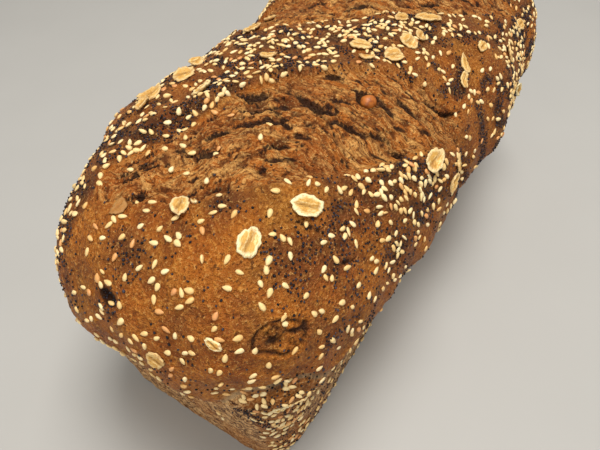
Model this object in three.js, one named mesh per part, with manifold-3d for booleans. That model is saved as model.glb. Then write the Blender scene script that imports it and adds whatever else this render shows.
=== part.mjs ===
// Spelt loaf baked in a tin: one solid body with a risen crown, two diagonal tears across it,
// and the oat flakes, sesame seeds and one whole kernel that stick to its crust.
// Millimetres, +Z up, +X along the loaf, origin under the middle of the loaf on its flat base.

import * as THREE from 'three';
import { mergeVertices } from 'three/addons/utils/BufferGeometryUtils.js';
import Module from 'manifold-3d';

// Lower part, shaped by the tin
const BASE_LENGTH = 233;
const BASE_WIDTH = 83;
const BASE_EDGE = 3;
const RIM_HEIGHT = 61.5;
const WALL_FLARE = 5.2;
const TIN_CORNER_POWER = 9;

// Crown, risen above the rim and out over it
const OVERHANG_END = 8.2;
const OVERHANG_SIDE = 6.8;
const WIDEST_HEIGHT = 74;
const CROWN_RISE = 43.5;
const CROWN_POWER_X = 5.1;
const CROWN_POWER_Y = 2.9;
const DOME_POWER = 2.3;
const CROWN_LEAN = -2;
const MIDDLE_BULGE = 6.2;

// Fineness of the body's mesh
const STEPS_LENGTH = 56;
const STEPS_WIDTH = 28;
const WALL_LEVELS = [0, 0.05, 0.5, 0.93, 1];
const OVERHANG_LEVELS = [0.22, 0.6, 1];

// Tears: the crust split here while the loaf rose, each as a slanting lens
const TEARS = [
  { x: -61, y: -17, turn: -37, left: 60, right: 60, halfWidth: 20.5 },
  { x: 31, y: -3, turn: -47, left: 64, right: 60, halfWidth: 22 },
];
const TEAR_DEPTH = 3.4;
const TEAR_CROWN = 2.2;
const TEAR_SHORE = 6;
const LIP_HEIGHT = 1.8;
const LIP_WIDTH = 6;
const LOWER_LIP_SHARE = 0.6;
// How bluntly a tear closes at its left and its right tip
const TIP_BLUNTNESS = [0.45, 0.6];

// Lobes of crust that swell along the crown's sides, and the hollows and notches between them
const LOBES = [
  { x: -75, side: -1, reach: 30, height: -3.8 },
  { x: -18, side: -1, reach: 8, height: -4.4 },
  { x: 1, side: -1, reach: 14, height: -3.2 },
  { x: 22, side: -1, reach: 12, height: 1.2 },
  { x: 74, side: -1, reach: 8, height: -2.8 },
  { x: 100, side: -1, reach: 22, height: 2.9 },
  { x: -98, side: 1, reach: 16, height: -1.6 },
  { x: -68, side: 1, reach: 22, height: 1 },
  { x: 6, side: 1, reach: 9, height: -2 },
  { x: 34, side: 1, reach: 24, height: 4.2 },
];

// How far from the middle line the lobes begin and are full, and the same about the rim's height
const LOBE_SIDEWAYS = [14, 46];
const LOBE_RAISED = [-8, 12];

// Slow unevenness of the crust, a sum of waves: each has its wave vector and height
const WAVES = [
  { along: 0.052, across: 0.035, up: 0.02, start: 1.3, height: 0.7 },
  { along: -0.081, across: 0.094, up: 0.05, start: 4.1, height: 0.55 },
  { along: 0.133, across: 0.121, up: -0.09, start: 2.2, height: 0.4 },
  { along: 0.19, across: -0.23, up: 0.13, start: 0.4, height: 0.3 },
  { along: -0.31, across: 0.17, up: 0.22, start: 5.2, height: 0.25 },
];
const WALL_WAVE_SHARE = 0.45;

// Slits and pits, cut as flat ellipsoids: size is half length, half width and depth
const CUTS = [
  { x: -53.5, y: -18, turn: -86, size: [7.5, 2.2, 3.6] },
  { x: -51.5, y: -29, turn: -76, size: [7, 1.4, 2.6] },
  { x: -16, y: -45, turn: -58, size: [7, 1.3, 2.4] },
  { x: -37, y: -33, turn: -120, size: [4.5, 1, 2] },
  { x: -126, y: 2, turn: 70, size: [4, 3.4, 2.8] },
  { x: -112, y: -42, turn: -50, size: [5.5, 3.4, 2.2] },
  { x: 38, y: -7, turn: -80, size: [9, 1.9, 3.2] },
  { x: 22, y: 12, turn: -62, size: [7, 1.3, 2.4] },
  { x: 51, y: -24, turn: -70, size: [8, 1.4, 2.6] },
];

// Oat flakes whose places stand out, with their radius
const OAT_FLAKES = [
  { x: -85, y: -33, radius: 4.6 },
  { x: -102, y: -27, radius: 4.3 },
  { x: -102, y: -6, radius: 2.8 },
  { x: -17, y: -14, radius: 4.3 },
  { x: -14, y: -25, radius: 4.3 },
  { x: -4, y: -26, radius: 4.1 },
  { x: 17, y: -25, radius: 5 },
  { x: -64, y: 16, radius: 4 },
  { x: -42, y: -52, radius: 4.5 },
  { x: -28, y: -57, radius: 3.8 },
  { x: -70, y: 33, radius: 4.2 },
  { x: -57, y: 30, radius: 4 },
  { x: 7, y: -44, radius: 3.4 },
  { x: -108, y: 11, radius: 3.6 },
];
const LOOSE_FLAKES = 12;
const LOOSE_FLAKE_SPACING = 15;
const FLAKE_SIDES = 10;
const FLAKE_THICKNESS = 1.3;
const FLAKE_SINK = 0.35;
const FLAKE_NARROWNESS = 0.8;
const FLAKE_FACE_SHARE = 0.82;
const FLAKE_CREASE = 0.1;
const LOOSE_FLAKE_RADII = [3, 4.2];

// Sesame seeds: half length, half width and half thickness
const SESAME_SIZE = [1.75, 1.1, 0.75];
const SESAME_COUNT = 92;
const SESAME_SPACING = 6;
const SESAME_SINK = 0.2;
const SESAME_NARROWING = 0.3;

// Share of seeds wanted on the near end of the crown, at its seam and low on its side
const SPARSE_SHARE = 0.16;
const SEAM_SHARE = 0.9;
const SEAM_REACH = 8;
const FLANK_SHARE = 0.5;
// And on the walls: the long sides, and the two ends with a seeded wedge beside one corner
const SIDE_WALL_SHARE = 0.5;
const WEDGE_SHARE = 0.8;
const BARE_END_SHARE = 0.04;
const WEDGE_START = 14;
const WEDGE_SLOPE = 0.55;
const WEDGE_TOP = 50;

// Shares of the seeds that fall on the crown, and on the crown or the long sides
const CROWN_DRAWS = 0.67;
const CROWN_AND_SIDE_DRAWS = 0.9;

// One whole kernel baked into the first tear
const KERNEL = { x: -41, y: -29, radius: 3, sink: 0.9 };

const CRUST_COLOUR = 0xa3622b;
const RANDOM_SEED = 2417;
const FAR_OUT = 200;

/** Repeatable random numbers from 0 to 1. */
function randomSource(seed) {
  let state = seed;
  return () => {
    state = (state + 0x6d2b79f5) | 0;
    let mixed = Math.imul(state ^ (state >>> 15), 1 | state);
    mixed = (mixed + Math.imul(mixed ^ (mixed >>> 7), 61 | mixed)) ^ mixed;
    return ((mixed ^ (mixed >>> 14)) >>> 0) / 4294967296;
  };
}

/** Plan of the tin-shaped wall at a share of the rim's height, with its rounded base edge. */
function wallPlan(share) {
  const height = share * RIM_HEIGHT;
  const flare = WALL_FLARE * share;
  const inset = BASE_EDGE - Math.sqrt(BASE_EDGE ** 2 - Math.max(0, BASE_EDGE - height) ** 2);
  return {
    height,
    halfLength: BASE_LENGTH / 2 + flare - inset,
    halfWidth: BASE_WIDTH / 2 + flare - inset,
    powerX: TIN_CORNER_POWER,
    powerY: TIN_CORNER_POWER,
    crown: 0,
  };
}

/** Plan of the overhang, from the rim (share 0) round to the widest ring (share 1). */
function overhangPlan(share) {
  const swell = Math.sqrt(1 - (1 - share) ** 2);
  return {
    height: RIM_HEIGHT + (WIDEST_HEIGHT - RIM_HEIGHT) * share,
    halfLength: BASE_LENGTH / 2 + WALL_FLARE + OVERHANG_END * swell,
    halfWidth: BASE_WIDTH / 2 + WALL_FLARE + OVERHANG_SIDE * swell,
    powerX: THREE.MathUtils.lerp(TIN_CORNER_POWER, CROWN_POWER_X, swell),
    powerY: THREE.MathUtils.lerp(TIN_CORNER_POWER, CROWN_POWER_Y, swell),
    crown: swell,
  };
}

/** Moves a point of the crown sideways: the whole crown leans, and its middle bulges. */
function crownY(x, y, plan) {
  const middle = Math.max(0, 1 - (x / plan.halfLength) ** 2);
  const edge = Math.min(1, Math.abs(y / plan.halfWidth)) ** 2;
  return y + plan.crown * (CROWN_LEAN + Math.sign(y) * MIDDLE_BULGE * middle * edge);
}

/** Point at (u, v) of the square from -1 to 1, pushed out to the superellipse of a plan. */
function planPoint(u, v, plan, scale = 1) {
  const shareX = Math.abs(u) ** plan.powerX;
  const shareY = Math.abs(v) ** plan.powerY;
  const x = plan.halfLength * scale * u / (shareX + shareY) ** (1 / plan.powerX);
  const y = plan.halfWidth * scale * v / (shareX + shareY) ** (1 / plan.powerY);
  return new THREE.Vector2(x, crownY(x, y, plan));
}

/** Point of the dome over (u, v) of the square from -1 to 1. */
function domePoint(u, v) {
  const plan = overhangPlan(1);
  const ring = Math.max(Math.abs(u), Math.abs(v));
  if (ring === 0) {
    return new THREE.Vector3(0, crownY(0, 0, plan), WIDEST_HEIGHT + CROWN_RISE);
  }
  const scale = Math.sin(ring * Math.PI / 2);
  const flat = planPoint(u / ring, v / ring, plan, scale);
  const shareX = Math.abs(u / ring) ** CROWN_POWER_X;
  const shareY = Math.abs(v / ring) ** CROWN_POWER_Y;
  const spread = (shareX * scale ** CROWN_POWER_X + shareY * scale ** CROWN_POWER_Y) / (shareX + shareY);
  const rise = Math.max(0, 1 - spread) ** (1 / DOME_POWER);
  return new THREE.Vector3(flat.x, flat.y, WIDEST_HEIGHT + CROWN_RISE * rise);
}

/** The square's edge points in order, one for each column of the wall. */
function squareEdge() {
  const edge = [];
  for (let i = 0; i < STEPS_LENGTH; i += 1) edge.push([i, 0]);
  for (let j = 0; j < STEPS_WIDTH; j += 1) edge.push([STEPS_LENGTH, j]);
  for (let i = STEPS_LENGTH; i > 0; i -= 1) edge.push([i, STEPS_WIDTH]);
  for (let j = STEPS_WIDTH; j > 0; j -= 1) edge.push([0, j]);
  return edge;
}

/** Smooth body: a grid for the dome, rings for the overhang and walls, a flat base. */
function smoothBody() {
  const points = [];
  const triangles = [];
  const gridIndex = (i, j) => i * (STEPS_WIDTH + 1) + j;
  const toU = (i) => 2 * i / STEPS_LENGTH - 1;
  const toV = (j) => 2 * j / STEPS_WIDTH - 1;
  for (let i = 0; i <= STEPS_LENGTH; i += 1) {
    for (let j = 0; j <= STEPS_WIDTH; j += 1) points.push(domePoint(toU(i), toV(j)));
  }
  for (let i = 0; i < STEPS_LENGTH; i += 1) {
    for (let j = 0; j < STEPS_WIDTH; j += 1) {
      const [a, b] = [gridIndex(i, j), gridIndex(i + 1, j)];
      const [c, d] = [gridIndex(i + 1, j + 1), gridIndex(i, j + 1)];
      triangles.push(a, b, c, a, c, d);
    }
  }
  const edge = squareEdge();
  const plans = [
    ...OVERHANG_LEVELS.slice(0, -1).reverse().map(overhangPlan),
    ...[...WALL_LEVELS].reverse().map(wallPlan),
  ];
  let upper = edge.map(([i, j]) => gridIndex(i, j));
  for (const plan of plans) {
    const lower = edge.map(([i, j]) => {
      const flat = planPoint(toU(i), toV(j), plan);
      points.push(new THREE.Vector3(flat.x, flat.y, plan.height));
      return points.length - 1;
    });
    for (let k = 0; k < edge.length; k += 1) {
      const next = (k + 1) % edge.length;
      triangles.push(upper[k], lower[k], lower[next], upper[k], lower[next], upper[next]);
    }
    upper = lower;
  }
  points.push(new THREE.Vector3(0, 0, 0));
  const centre = points.length - 1;
  for (let k = 0; k < edge.length; k += 1) {
    triangles.push(centre, upper[(k + 1) % edge.length], upper[k]);
  }
  const geometry = new THREE.BufferGeometry().setFromPoints(points);
  geometry.setIndex(triangles);
  geometry.computeVertexNormals();
  return geometry;
}

/** Where (x, y) lies in a tear: how far along it, across it, and past its edge. */
function placeInTear(x, y, tear) {
  const turn = THREE.MathUtils.degToRad(tear.turn);
  const dx = x - tear.x;
  const dy = y - tear.y;
  const along = dx * Math.cos(turn) + dy * Math.sin(turn);
  const across = dy * Math.cos(turn) - dx * Math.sin(turn);
  const share = along / (along < 0 ? tear.left : tear.right);
  const taper = Math.max(0, 1 - share ** 2);
  const width = tear.halfWidth * taper ** TIP_BLUNTNESS[along < 0 ? 0 : 1];
  const beyond = Math.max(0, Math.abs(share) - 1) * tear.right;
  const past = beyond > 0 ? Math.hypot(beyond, across) : Math.abs(across) - width;
  return { taper, across, width, past };
}

/** Sunken floor of the tears, highest along their middle, with a raised lip outside. */
function tearRelief(x, y) {
  let relief = 0;
  for (const tear of TEARS) {
    const { taper, across, width, past } = placeInTear(x, y, tear);
    if (past < 0) {
      const shore = Math.min(1, -past / TEAR_SHORE);
      relief -= TEAR_DEPTH * shore * (2 - shore) * Math.sqrt(taper);
      relief += TEAR_CROWN * taper * (1 - (across / width) ** 2);
    } else {
      const lip = Math.exp(-((past / LIP_WIDTH) ** 2)) * Math.sqrt(taper);
      relief += LIP_HEIGHT * lip * (across > 0 ? 1 : LOWER_LIP_SHARE);
    }
  }
  return relief;
}

/** Lobes and notches along the long sides of the crown. */
function lobeRelief(x, y, z) {
  let relief = 0;
  for (const lobe of LOBES) {
    const sideways = THREE.MathUtils.smoothstep(lobe.side * y, ...LOBE_SIDEWAYS);
    const raised = THREE.MathUtils.smoothstep(z - RIM_HEIGHT, ...LOBE_RAISED);
    relief += lobe.height * sideways * raised * Math.exp(-(((x - lobe.x) / lobe.reach) ** 2));
  }
  return relief;
}

/** Slow unevenness, weaker on the walls that lay against the tin and none at the base. */
function waveRelief(x, y, z) {
  let relief = 0;
  for (const wave of WAVES) {
    relief += wave.height * Math.sin(wave.along * x + wave.across * y + wave.up * z + wave.start);
  }
  const onCrown = THREE.MathUtils.smoothstep(z, RIM_HEIGHT - 5, RIM_HEIGHT + 10);
  const offBase = THREE.MathUtils.smoothstep(z, 1, 12);
  return relief * (WALL_WAVE_SHARE * offBase + (1 - WALL_WAVE_SHARE) * onCrown);
}

/** Pushes each point of the smooth body along its normal by the crust's relief. */
function addRelief(geometry) {
  const place = geometry.attributes.position;
  const normal = geometry.attributes.normal;
  const point = new THREE.Vector3();
  const push = new THREE.Vector3();
  for (let i = 0; i < place.count; i += 1) {
    point.fromBufferAttribute(place, i);
    push.fromBufferAttribute(normal, i);
    const { x, y, z } = point;
    let relief = waveRelief(x, y, z) + lobeRelief(x, y, z);
    if (z > WIDEST_HEIGHT) relief += tearRelief(x, y);
    point.addScaledVector(push, relief);
    place.setXYZ(i, point.x, point.y, point.z);
  }
  return geometry;
}

/** Share of seeds wanted on a wall: the ends are bare but for a wedge beside one corner. */
function wallSeedShare(x, y, z) {
  const onEnd = Math.abs(x) > BASE_LENGTH / 2 - 2;
  if (!onEnd) return SIDE_WALL_SHARE;
  const inWedge = y * Math.sign(x) > WEDGE_START + WEDGE_SLOPE * (WEDGE_TOP - z);
  return inWedge ? WEDGE_SHARE : BARE_END_SHARE;
}

/** Share of seeds wanted at a place: thick between the tears, thin on the near end and in the tears. */
function seedShare(x, y, z) {
  if (z < RIM_HEIGHT) return wallSeedShare(x, y, z);
  const first = placeInTear(x, y, TEARS[0]);
  const second = placeInTear(x, y, TEARS[1]);
  if (first.past < 0 || second.past < 0) return 0;
  if (first.across > 0) return 1;
  const seam = Math.exp(-first.past / SEAM_REACH) * THREE.MathUtils.smoothstep(-y, 10, 40);
  const flank = FLANK_SHARE * THREE.MathUtils.smoothstep(-y, 38, 50);
  return Math.min(1, SPARSE_SHARE + SEAM_SHARE * seam + flank);
}

/** First place where a ray meets the body, with the face's outward normal. */
function landOn(body, from, towards) {
  const ray = new THREE.Raycaster(from, towards.clone().normalize());
  const [hit] = ray.intersectObject(body);
  return hit ? { point: hit.point, normal: hit.face.normal.clone() } : null;
}

/** Place on the crown straight below (x, y). */
function landFromAbove(body, x, y) {
  return landOn(body, new THREE.Vector3(x, y, FAR_OUT), new THREE.Vector3(0, 0, -1));
}

/** Lays a piece on the body, its own Z along the normal, turned by a random angle. */
function layOn(geometry, place, random, sink) {
  const upright = new THREE.Quaternion().setFromUnitVectors(new THREE.Vector3(0, 0, 1), place.normal);
  const turn = new THREE.Quaternion().setFromAxisAngle(new THREE.Vector3(0, 0, 1), random() * 2 * Math.PI);
  geometry.applyQuaternion(upright.multiply(turn));
  const at = place.point.clone().addScaledVector(place.normal, -sink);
  geometry.translate(at.x, at.y, at.z);
  return geometry;
}

/** A rolled oat: a thin disc with an uneven rim and a slightly domed, creased face. */
function flakeShape(radius, random) {
  const rim = [];
  const shoulder = [];
  for (let k = 0; k < FLAKE_SIDES; k += 1) {
    const angle = 2 * Math.PI * k / FLAKE_SIDES;
    const reach = radius * (0.88 + 0.24 * random());
    const x = reach * Math.cos(angle);
    const y = FLAKE_NARROWNESS * reach * Math.sin(angle);
    rim.push(new THREE.Vector3(x, y, 0.2 * random()));
    const lift = FLAKE_THICKNESS / 2 + 0.2 * random();
    shoulder.push(new THREE.Vector3(FLAKE_FACE_SHARE * x, FLAKE_FACE_SHARE * y, lift));
  }
  const top = new THREE.Vector3(0, 0, FLAKE_THICKNESS / 2 - FLAKE_CREASE);
  const bottom = new THREE.Vector3(0, 0, -FLAKE_THICKNESS);
  const points = [...rim, ...shoulder, top, bottom];
  const triangles = [];
  for (let k = 0; k < FLAKE_SIDES; k += 1) {
    const next = (k + 1) % FLAKE_SIDES;
    triangles.push(k, next, FLAKE_SIDES + next, k, FLAKE_SIDES + next, FLAKE_SIDES + k);
    triangles.push(FLAKE_SIDES + k, FLAKE_SIDES + next, 2 * FLAKE_SIDES);
    triangles.push(next, k, 2 * FLAKE_SIDES + 1);
  }
  const geometry = new THREE.BufferGeometry().setFromPoints(points);
  geometry.setIndex(triangles);
  return geometry;
}

/** A sesame seed: a flattened drop, narrower at one end. */
function sesameShape() {
  const geometry = new THREE.IcosahedronGeometry(1, 0);
  const place = geometry.attributes.position;
  for (let i = 0; i < place.count; i += 1) {
    const narrowing = 1 - SESAME_NARROWING * place.getX(i);
    place.setXYZ(
      i,
      place.getX(i) * SESAME_SIZE[0],
      place.getY(i) * SESAME_SIZE[1] * narrowing,
      place.getZ(i) * SESAME_SIZE[2],
    );
  }
  return geometry;
}

/** Closed geometry with merged vertices, as a solid for joining and cutting. */
function toSolid(wasm, geometry) {
  const bare = geometry.clone();
  bare.deleteAttribute('normal');
  bare.deleteAttribute('uv');
  const merged = mergeVertices(bare, 1e-4);
  return new wasm.Manifold(new wasm.Mesh({
    numProp: 3,
    vertProperties: new Float32Array(merged.attributes.position.array),
    triVerts: new Uint32Array(merged.index.array),
  }));
}

/** The solid's triangles as a geometry. */
function toGeometry(solid) {
  const mesh = solid.getMesh();
  const geometry = new THREE.BufferGeometry();
  geometry.setAttribute('position', new THREE.BufferAttribute(mesh.vertProperties, 3));
  geometry.setIndex(new THREE.BufferAttribute(mesh.triVerts, 1));
  return geometry;
}

/** Flat ellipsoid that cuts one slit or pit, its middle on the crust. */
function cutShape(cut, place) {
  const geometry = new THREE.IcosahedronGeometry(1, 1);
  geometry.scale(...cut.size);
  geometry.rotateZ(THREE.MathUtils.degToRad(cut.turn));
  geometry.translate(place.point.x, place.point.y, place.point.z);
  return geometry;
}

/** A random place on the crown or, one time in three, on a wall. */
function randomPlace(body, random) {
  const along = (random() - 0.5) * (BASE_LENGTH + 2 * (WALL_FLARE + OVERHANG_END));
  const across = (random() - 0.5) * (BASE_WIDTH + 2 * (WALL_FLARE + OVERHANG_SIDE + MIDDLE_BULGE));
  const height = 8 + random() * (WIDEST_HEIGHT - 4);
  const part = random();
  const side = random() < 0.5 ? -1 : 1;
  if (part < CROWN_DRAWS) return landFromAbove(body, along, across);
  if (part < CROWN_AND_SIDE_DRAWS) {
    return landOn(body, new THREE.Vector3(along, side * FAR_OUT, height), new THREE.Vector3(0, -side, 0));
  }
  return landOn(body, new THREE.Vector3(side * FAR_OUT, across, height), new THREE.Vector3(-side, 0, 0));
}

/** Places that follow the wanted share of seeds and keep a spacing to all earlier ones. */
function scatter(body, count, spacing, taken, random) {
  const places = [];
  for (let tries = 0; tries < 60 * count && places.length < count; tries += 1) {
    const place = randomPlace(body, random);
    if (!place) continue;
    const { x, y, z } = place.point;
    if (random() > seedShare(x, y, z)) continue;
    if (taken.some((other) => other.point.distanceTo(place.point) < spacing)) continue;
    places.push(place);
    taken.push(place);
  }
  return places;
}

/** All pieces that stick to the crust, the largest first. */
function toppings(body, random) {
  const pieces = [];
  const taken = [];
  for (const { x, y, radius } of OAT_FLAKES) {
    const place = landFromAbove(body, x, y);
    taken.push(place);
    pieces.push(layOn(flakeShape(radius, random), place, random, FLAKE_SINK));
  }
  for (const place of scatter(body, LOOSE_FLAKES, LOOSE_FLAKE_SPACING, taken, random)) {
    const radius = THREE.MathUtils.lerp(...LOOSE_FLAKE_RADII, random());
    pieces.push(layOn(flakeShape(radius, random), place, random, FLAKE_SINK));
  }
  const kernel = new THREE.IcosahedronGeometry(KERNEL.radius, 1);
  pieces.push(layOn(kernel, landFromAbove(body, KERNEL.x, KERNEL.y), random, KERNEL.sink));
  for (const place of scatter(body, SESAME_COUNT, SESAME_SPACING, taken, random)) {
    pieces.push(layOn(sesameShape(), place, random, SESAME_SINK));
  }
  return pieces;
}

/** Sets the middle of the solid's box over the origin, with the base at height 0. */
function centred(geometry) {
  geometry.computeBoundingBox();
  const middle = geometry.boundingBox.getCenter(new THREE.Vector3());
  geometry.translate(-middle.x, -middle.y, -geometry.boundingBox.min.z);
  return geometry;
}

/** The whole loaf: body less its slits and pits, with all toppings joined on. */
function loafGeometry(wasm) {
  const random = randomSource(RANDOM_SEED);
  const bodyGeometry = addRelief(smoothBody());
  const body = new THREE.Mesh(bodyGeometry);
  let solid = toSolid(wasm, bodyGeometry);
  for (const cut of CUTS) {
    const place = landFromAbove(body, cut.x, cut.y);
    solid = solid.subtract(toSolid(wasm, cutShape(cut, place)));
  }
  for (const piece of toppings(body, random)) solid = solid.add(toSolid(wasm, piece));
  const [loaf] = solid.decompose().sort((a, b) => b.volume() - a.volume());
  return centred(toGeometry(loaf));
}

const wasm = await Module();
wasm.setup();

const crust = new THREE.MeshStandardMaterial({ color: CRUST_COLOUR, roughness: 0.72, metalness: 0 });
const loaf = new THREE.Mesh(loafGeometry(wasm), crust);
loaf.name = 'loaf';

const speltLoaf = new THREE.Group();
speltLoaf.add(loaf);

export default speltLoaf;
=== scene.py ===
"""Dressed spelt loaf: its crust, and the sesame, poppy seeds, oat flakes and kernel on it.

The loaf's own lengths are in millimetres, as in the solid's source, with the origin under the
middle of the tin-shaped base. Meshes are moved to the solid's place and turned to metres last.
"""

import math

import bpy
import numpy as np
from mathutils import Matrix, Vector
from mathutils.bvhtree import BVHTree


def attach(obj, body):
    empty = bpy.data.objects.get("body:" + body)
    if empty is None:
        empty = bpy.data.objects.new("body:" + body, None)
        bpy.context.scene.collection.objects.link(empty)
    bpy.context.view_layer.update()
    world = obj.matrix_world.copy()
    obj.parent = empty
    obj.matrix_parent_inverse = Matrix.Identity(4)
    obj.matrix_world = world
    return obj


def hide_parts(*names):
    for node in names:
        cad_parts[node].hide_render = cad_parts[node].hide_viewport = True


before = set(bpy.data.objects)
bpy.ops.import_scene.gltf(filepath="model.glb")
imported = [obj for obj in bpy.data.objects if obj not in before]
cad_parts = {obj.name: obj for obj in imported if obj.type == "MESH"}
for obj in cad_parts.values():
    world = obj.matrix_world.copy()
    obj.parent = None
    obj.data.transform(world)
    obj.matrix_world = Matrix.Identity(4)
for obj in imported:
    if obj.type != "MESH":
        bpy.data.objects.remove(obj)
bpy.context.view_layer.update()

MM = 0.001
IMAGE_WIDTH = 600

# Where the solid's source sets the middle of the base, so that its box is centred
BASE_MIDDLE = np.array([0.254, 0.709, 0.0])

# Lower part, shaped by the tin
BASE_LENGTH = 233
BASE_WIDTH = 83
BASE_EDGE = 3
RIM_HEIGHT = 61.5
WALL_FLARE = 5.2
TIN_CORNER_POWER = 9

# Crown, risen above the rim and out over it
OVERHANG_END = 8.2
OVERHANG_SIDE = 6.8
WIDEST_HEIGHT = 74
CROWN_RISE = 43.5
CROWN_POWER_X = 5.1
CROWN_POWER_Y = 2.9
DOME_POWER = 2.3
CROWN_LEAN = -2
MIDDLE_BULGE = 6.2

# Fineness of the crust's mesh
STEPS_LENGTH = 352
STEPS_WIDTH = 180
MIDDLE_FINENESS = 0.3
OVERHANG_ROWS = 6
WALL_ROWS = 17
EDGE_ROWS = 3
BASE_RINGS = 1

# Tears: place, turn in degrees, reach to the left and right, half width
TEARS = [
    (-61, -17, -37, 60, 60, 20.5),
    (31, -3, -47, 64, 60, 22),
]
TEAR_DEPTH = 3.4
TEAR_CROWN = 2.2
TEAR_SHORE = 6
LIP_HEIGHT = 1.8
LIP_WIDTH = 6
LOWER_LIP_SHARE = 0.6
TIP_BLUNTNESS = (0.45, 0.6)

# Where torn crumb stops short of a tear's edge, or runs past it: tear, side, place, reach, shift
EDGE_SHIFTS = [
    (0, 1, -36, 14, 6),
    (0, -1, -50, 12, 6),
    (0, -1, 20, 18, 3),
    (1, -1, -53, 7, -6),
    (1, -1, -22, 12, 3.5),
]

# Lobes of crust along the crown's sides: place along, side, reach, height
LOBES = [
    (-75, -1, 30, -3.8),
    (-18, -1, 8, -4.4),
    (1, -1, 14, -3.2),
    (22, -1, 12, 1.2),
    (74, -1, 8, -2.8),
    (100, -1, 22, 2.9),
    (-98, 1, 16, -1.6),
    (-68, 1, 22, 1),
    (6, 1, 9, -2),
    (34, 1, 24, 4.2),
]
LOBE_SIDEWAYS = (14, 46)
LOBE_RAISED = (-8, 12)

# Slow unevenness: wave vector, start and height
WAVES = [
    (0.052, 0.035, 0.02, 1.3, 0.7),
    (-0.081, 0.094, 0.05, 4.1, 0.55),
    (0.133, 0.121, -0.09, 2.2, 0.4),
    (0.19, -0.23, 0.13, 0.4, 0.3),
    (-0.31, 0.17, 0.22, 5.2, 0.25),
]
WALL_WAVE_SHARE = 0.45

# The wall's pale crust reaches higher at the corners, and the near corner's crown is tucked in
CORNER_RISE = 11
TUCK_PLACE = (-123, -35, 69)
TUCK_REACH = (9, 13, 9)
TUCK_DEPTH = 3.6

# Slits and pits: place, turn, half length, half width, depth, bend
SLITS = [
    (-53.4, -16.5, -86, 8.5, 1.7, 2.6, 0.055),
    (-52.4, -28, -84, 7.0, 0.9, 2.0, -0.03),
    (-16.5, -45, -62, 9.5, 0.9, 2.2, 0.05),
    (-37.5, -33, -112, 6, 0.8, 2.2, 0),
    (-33.5, -39, -100, 6, 0.7, 1.8, 0.02),
    (-58, 2, -50, 5.5, 1.0, 2.2, 0.04),
    (-64, -3, -52, 5.0, 0.9, 2.2, 0.04),
    (-69, -6, -50, 4.5, 0.9, 2.0, 0.03),
    (-65, -11, -58, 5.5, 0.9, 2.2, 0.03),
    (-77, 1, -42, 4.5, 0.9, 2.0, 0),
    (-84, -1, -38, 4.5, 0.9, 1.8, 0.03),
    (-72, -17, -62, 3.4, 0.9, 2.4, 0),
    (-66, -20, -70, 3.4, 0.7, 1.6, 0),
    (-48, -43, -50, 2.4, 1.2, 2.8, 0),
    (-49, -36, -72, 3.6, 0.7, 1.8, 0),
    (-26, -38, -80, 6, 0.7, 1.7, 0.03),
    (-36, -14, -58, 4, 0.9, 1.8, 0),
    (-60, -9, -66, 4, 0.7, 1.6, 0),
    (-45, -22, -84, 5, 0.7, 1.7, 0),
    (-88.5, -35.6, -72, 5.5, 0.5, 1.3, 0),
    (-86.5, -46.5, -40, 5, 0.6, 1.4, 0.04),
    (38, -7, -80, 9, 1.9, 3.6, 0.05),
    (22, 12, -62, 7, 1.3, 2.6, 0.05),
    (51, -24, -70, 8, 1.4, 2.8, 0.05),
    (12, 20, -50, 5, 1.2, 2.0, 0),
    (30, 4, -55, 4, 1.3, 2.0, 0),
    (46, -13, -60, 4, 1.1, 1.8, 0),
    (34, -20, -45, 5, 1.1, 1.8, 0),
    (60, -34, -50, 5, 1.2, 2.0, 0),
    (16, 2, -45, 4, 1.2, 1.8, 0),
]
PITS = [
    (-126, 2, 70, 3.6, 2.2, 1.8, 0),
    (-39.6, -28, 0, 4.3, 4.0, 2.0, 0),
    (-108.5, -44, -50, 2.6, 1.0, 1.0, 0),
]

# Small slits strewn over the torn floors: count in a tear, half length, half width and depth
SMALL_SLITS = 110
SMALL_SLIT_RANGES = ((1.1, 3.2), (0.3, 0.62), (0.7, 1.4))
SLIT_OVERHANG = 0.12

# The fibres of a tear run along it at its left end, then slant across it
FIBRE_SLANT = 1.05
FIBRE_TURNS = ((-18, 0), (34, 56))

# Blister scar low on the crown's near corner: a creased ring round a lumpy middle
SCAR_PLACE = (-112.0, -42.0)
SCAR_TURN = -40
SCAR_SIZE = (6.8, 4.7)
SCAR_CORE = (-2.6, -0.6)

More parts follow.
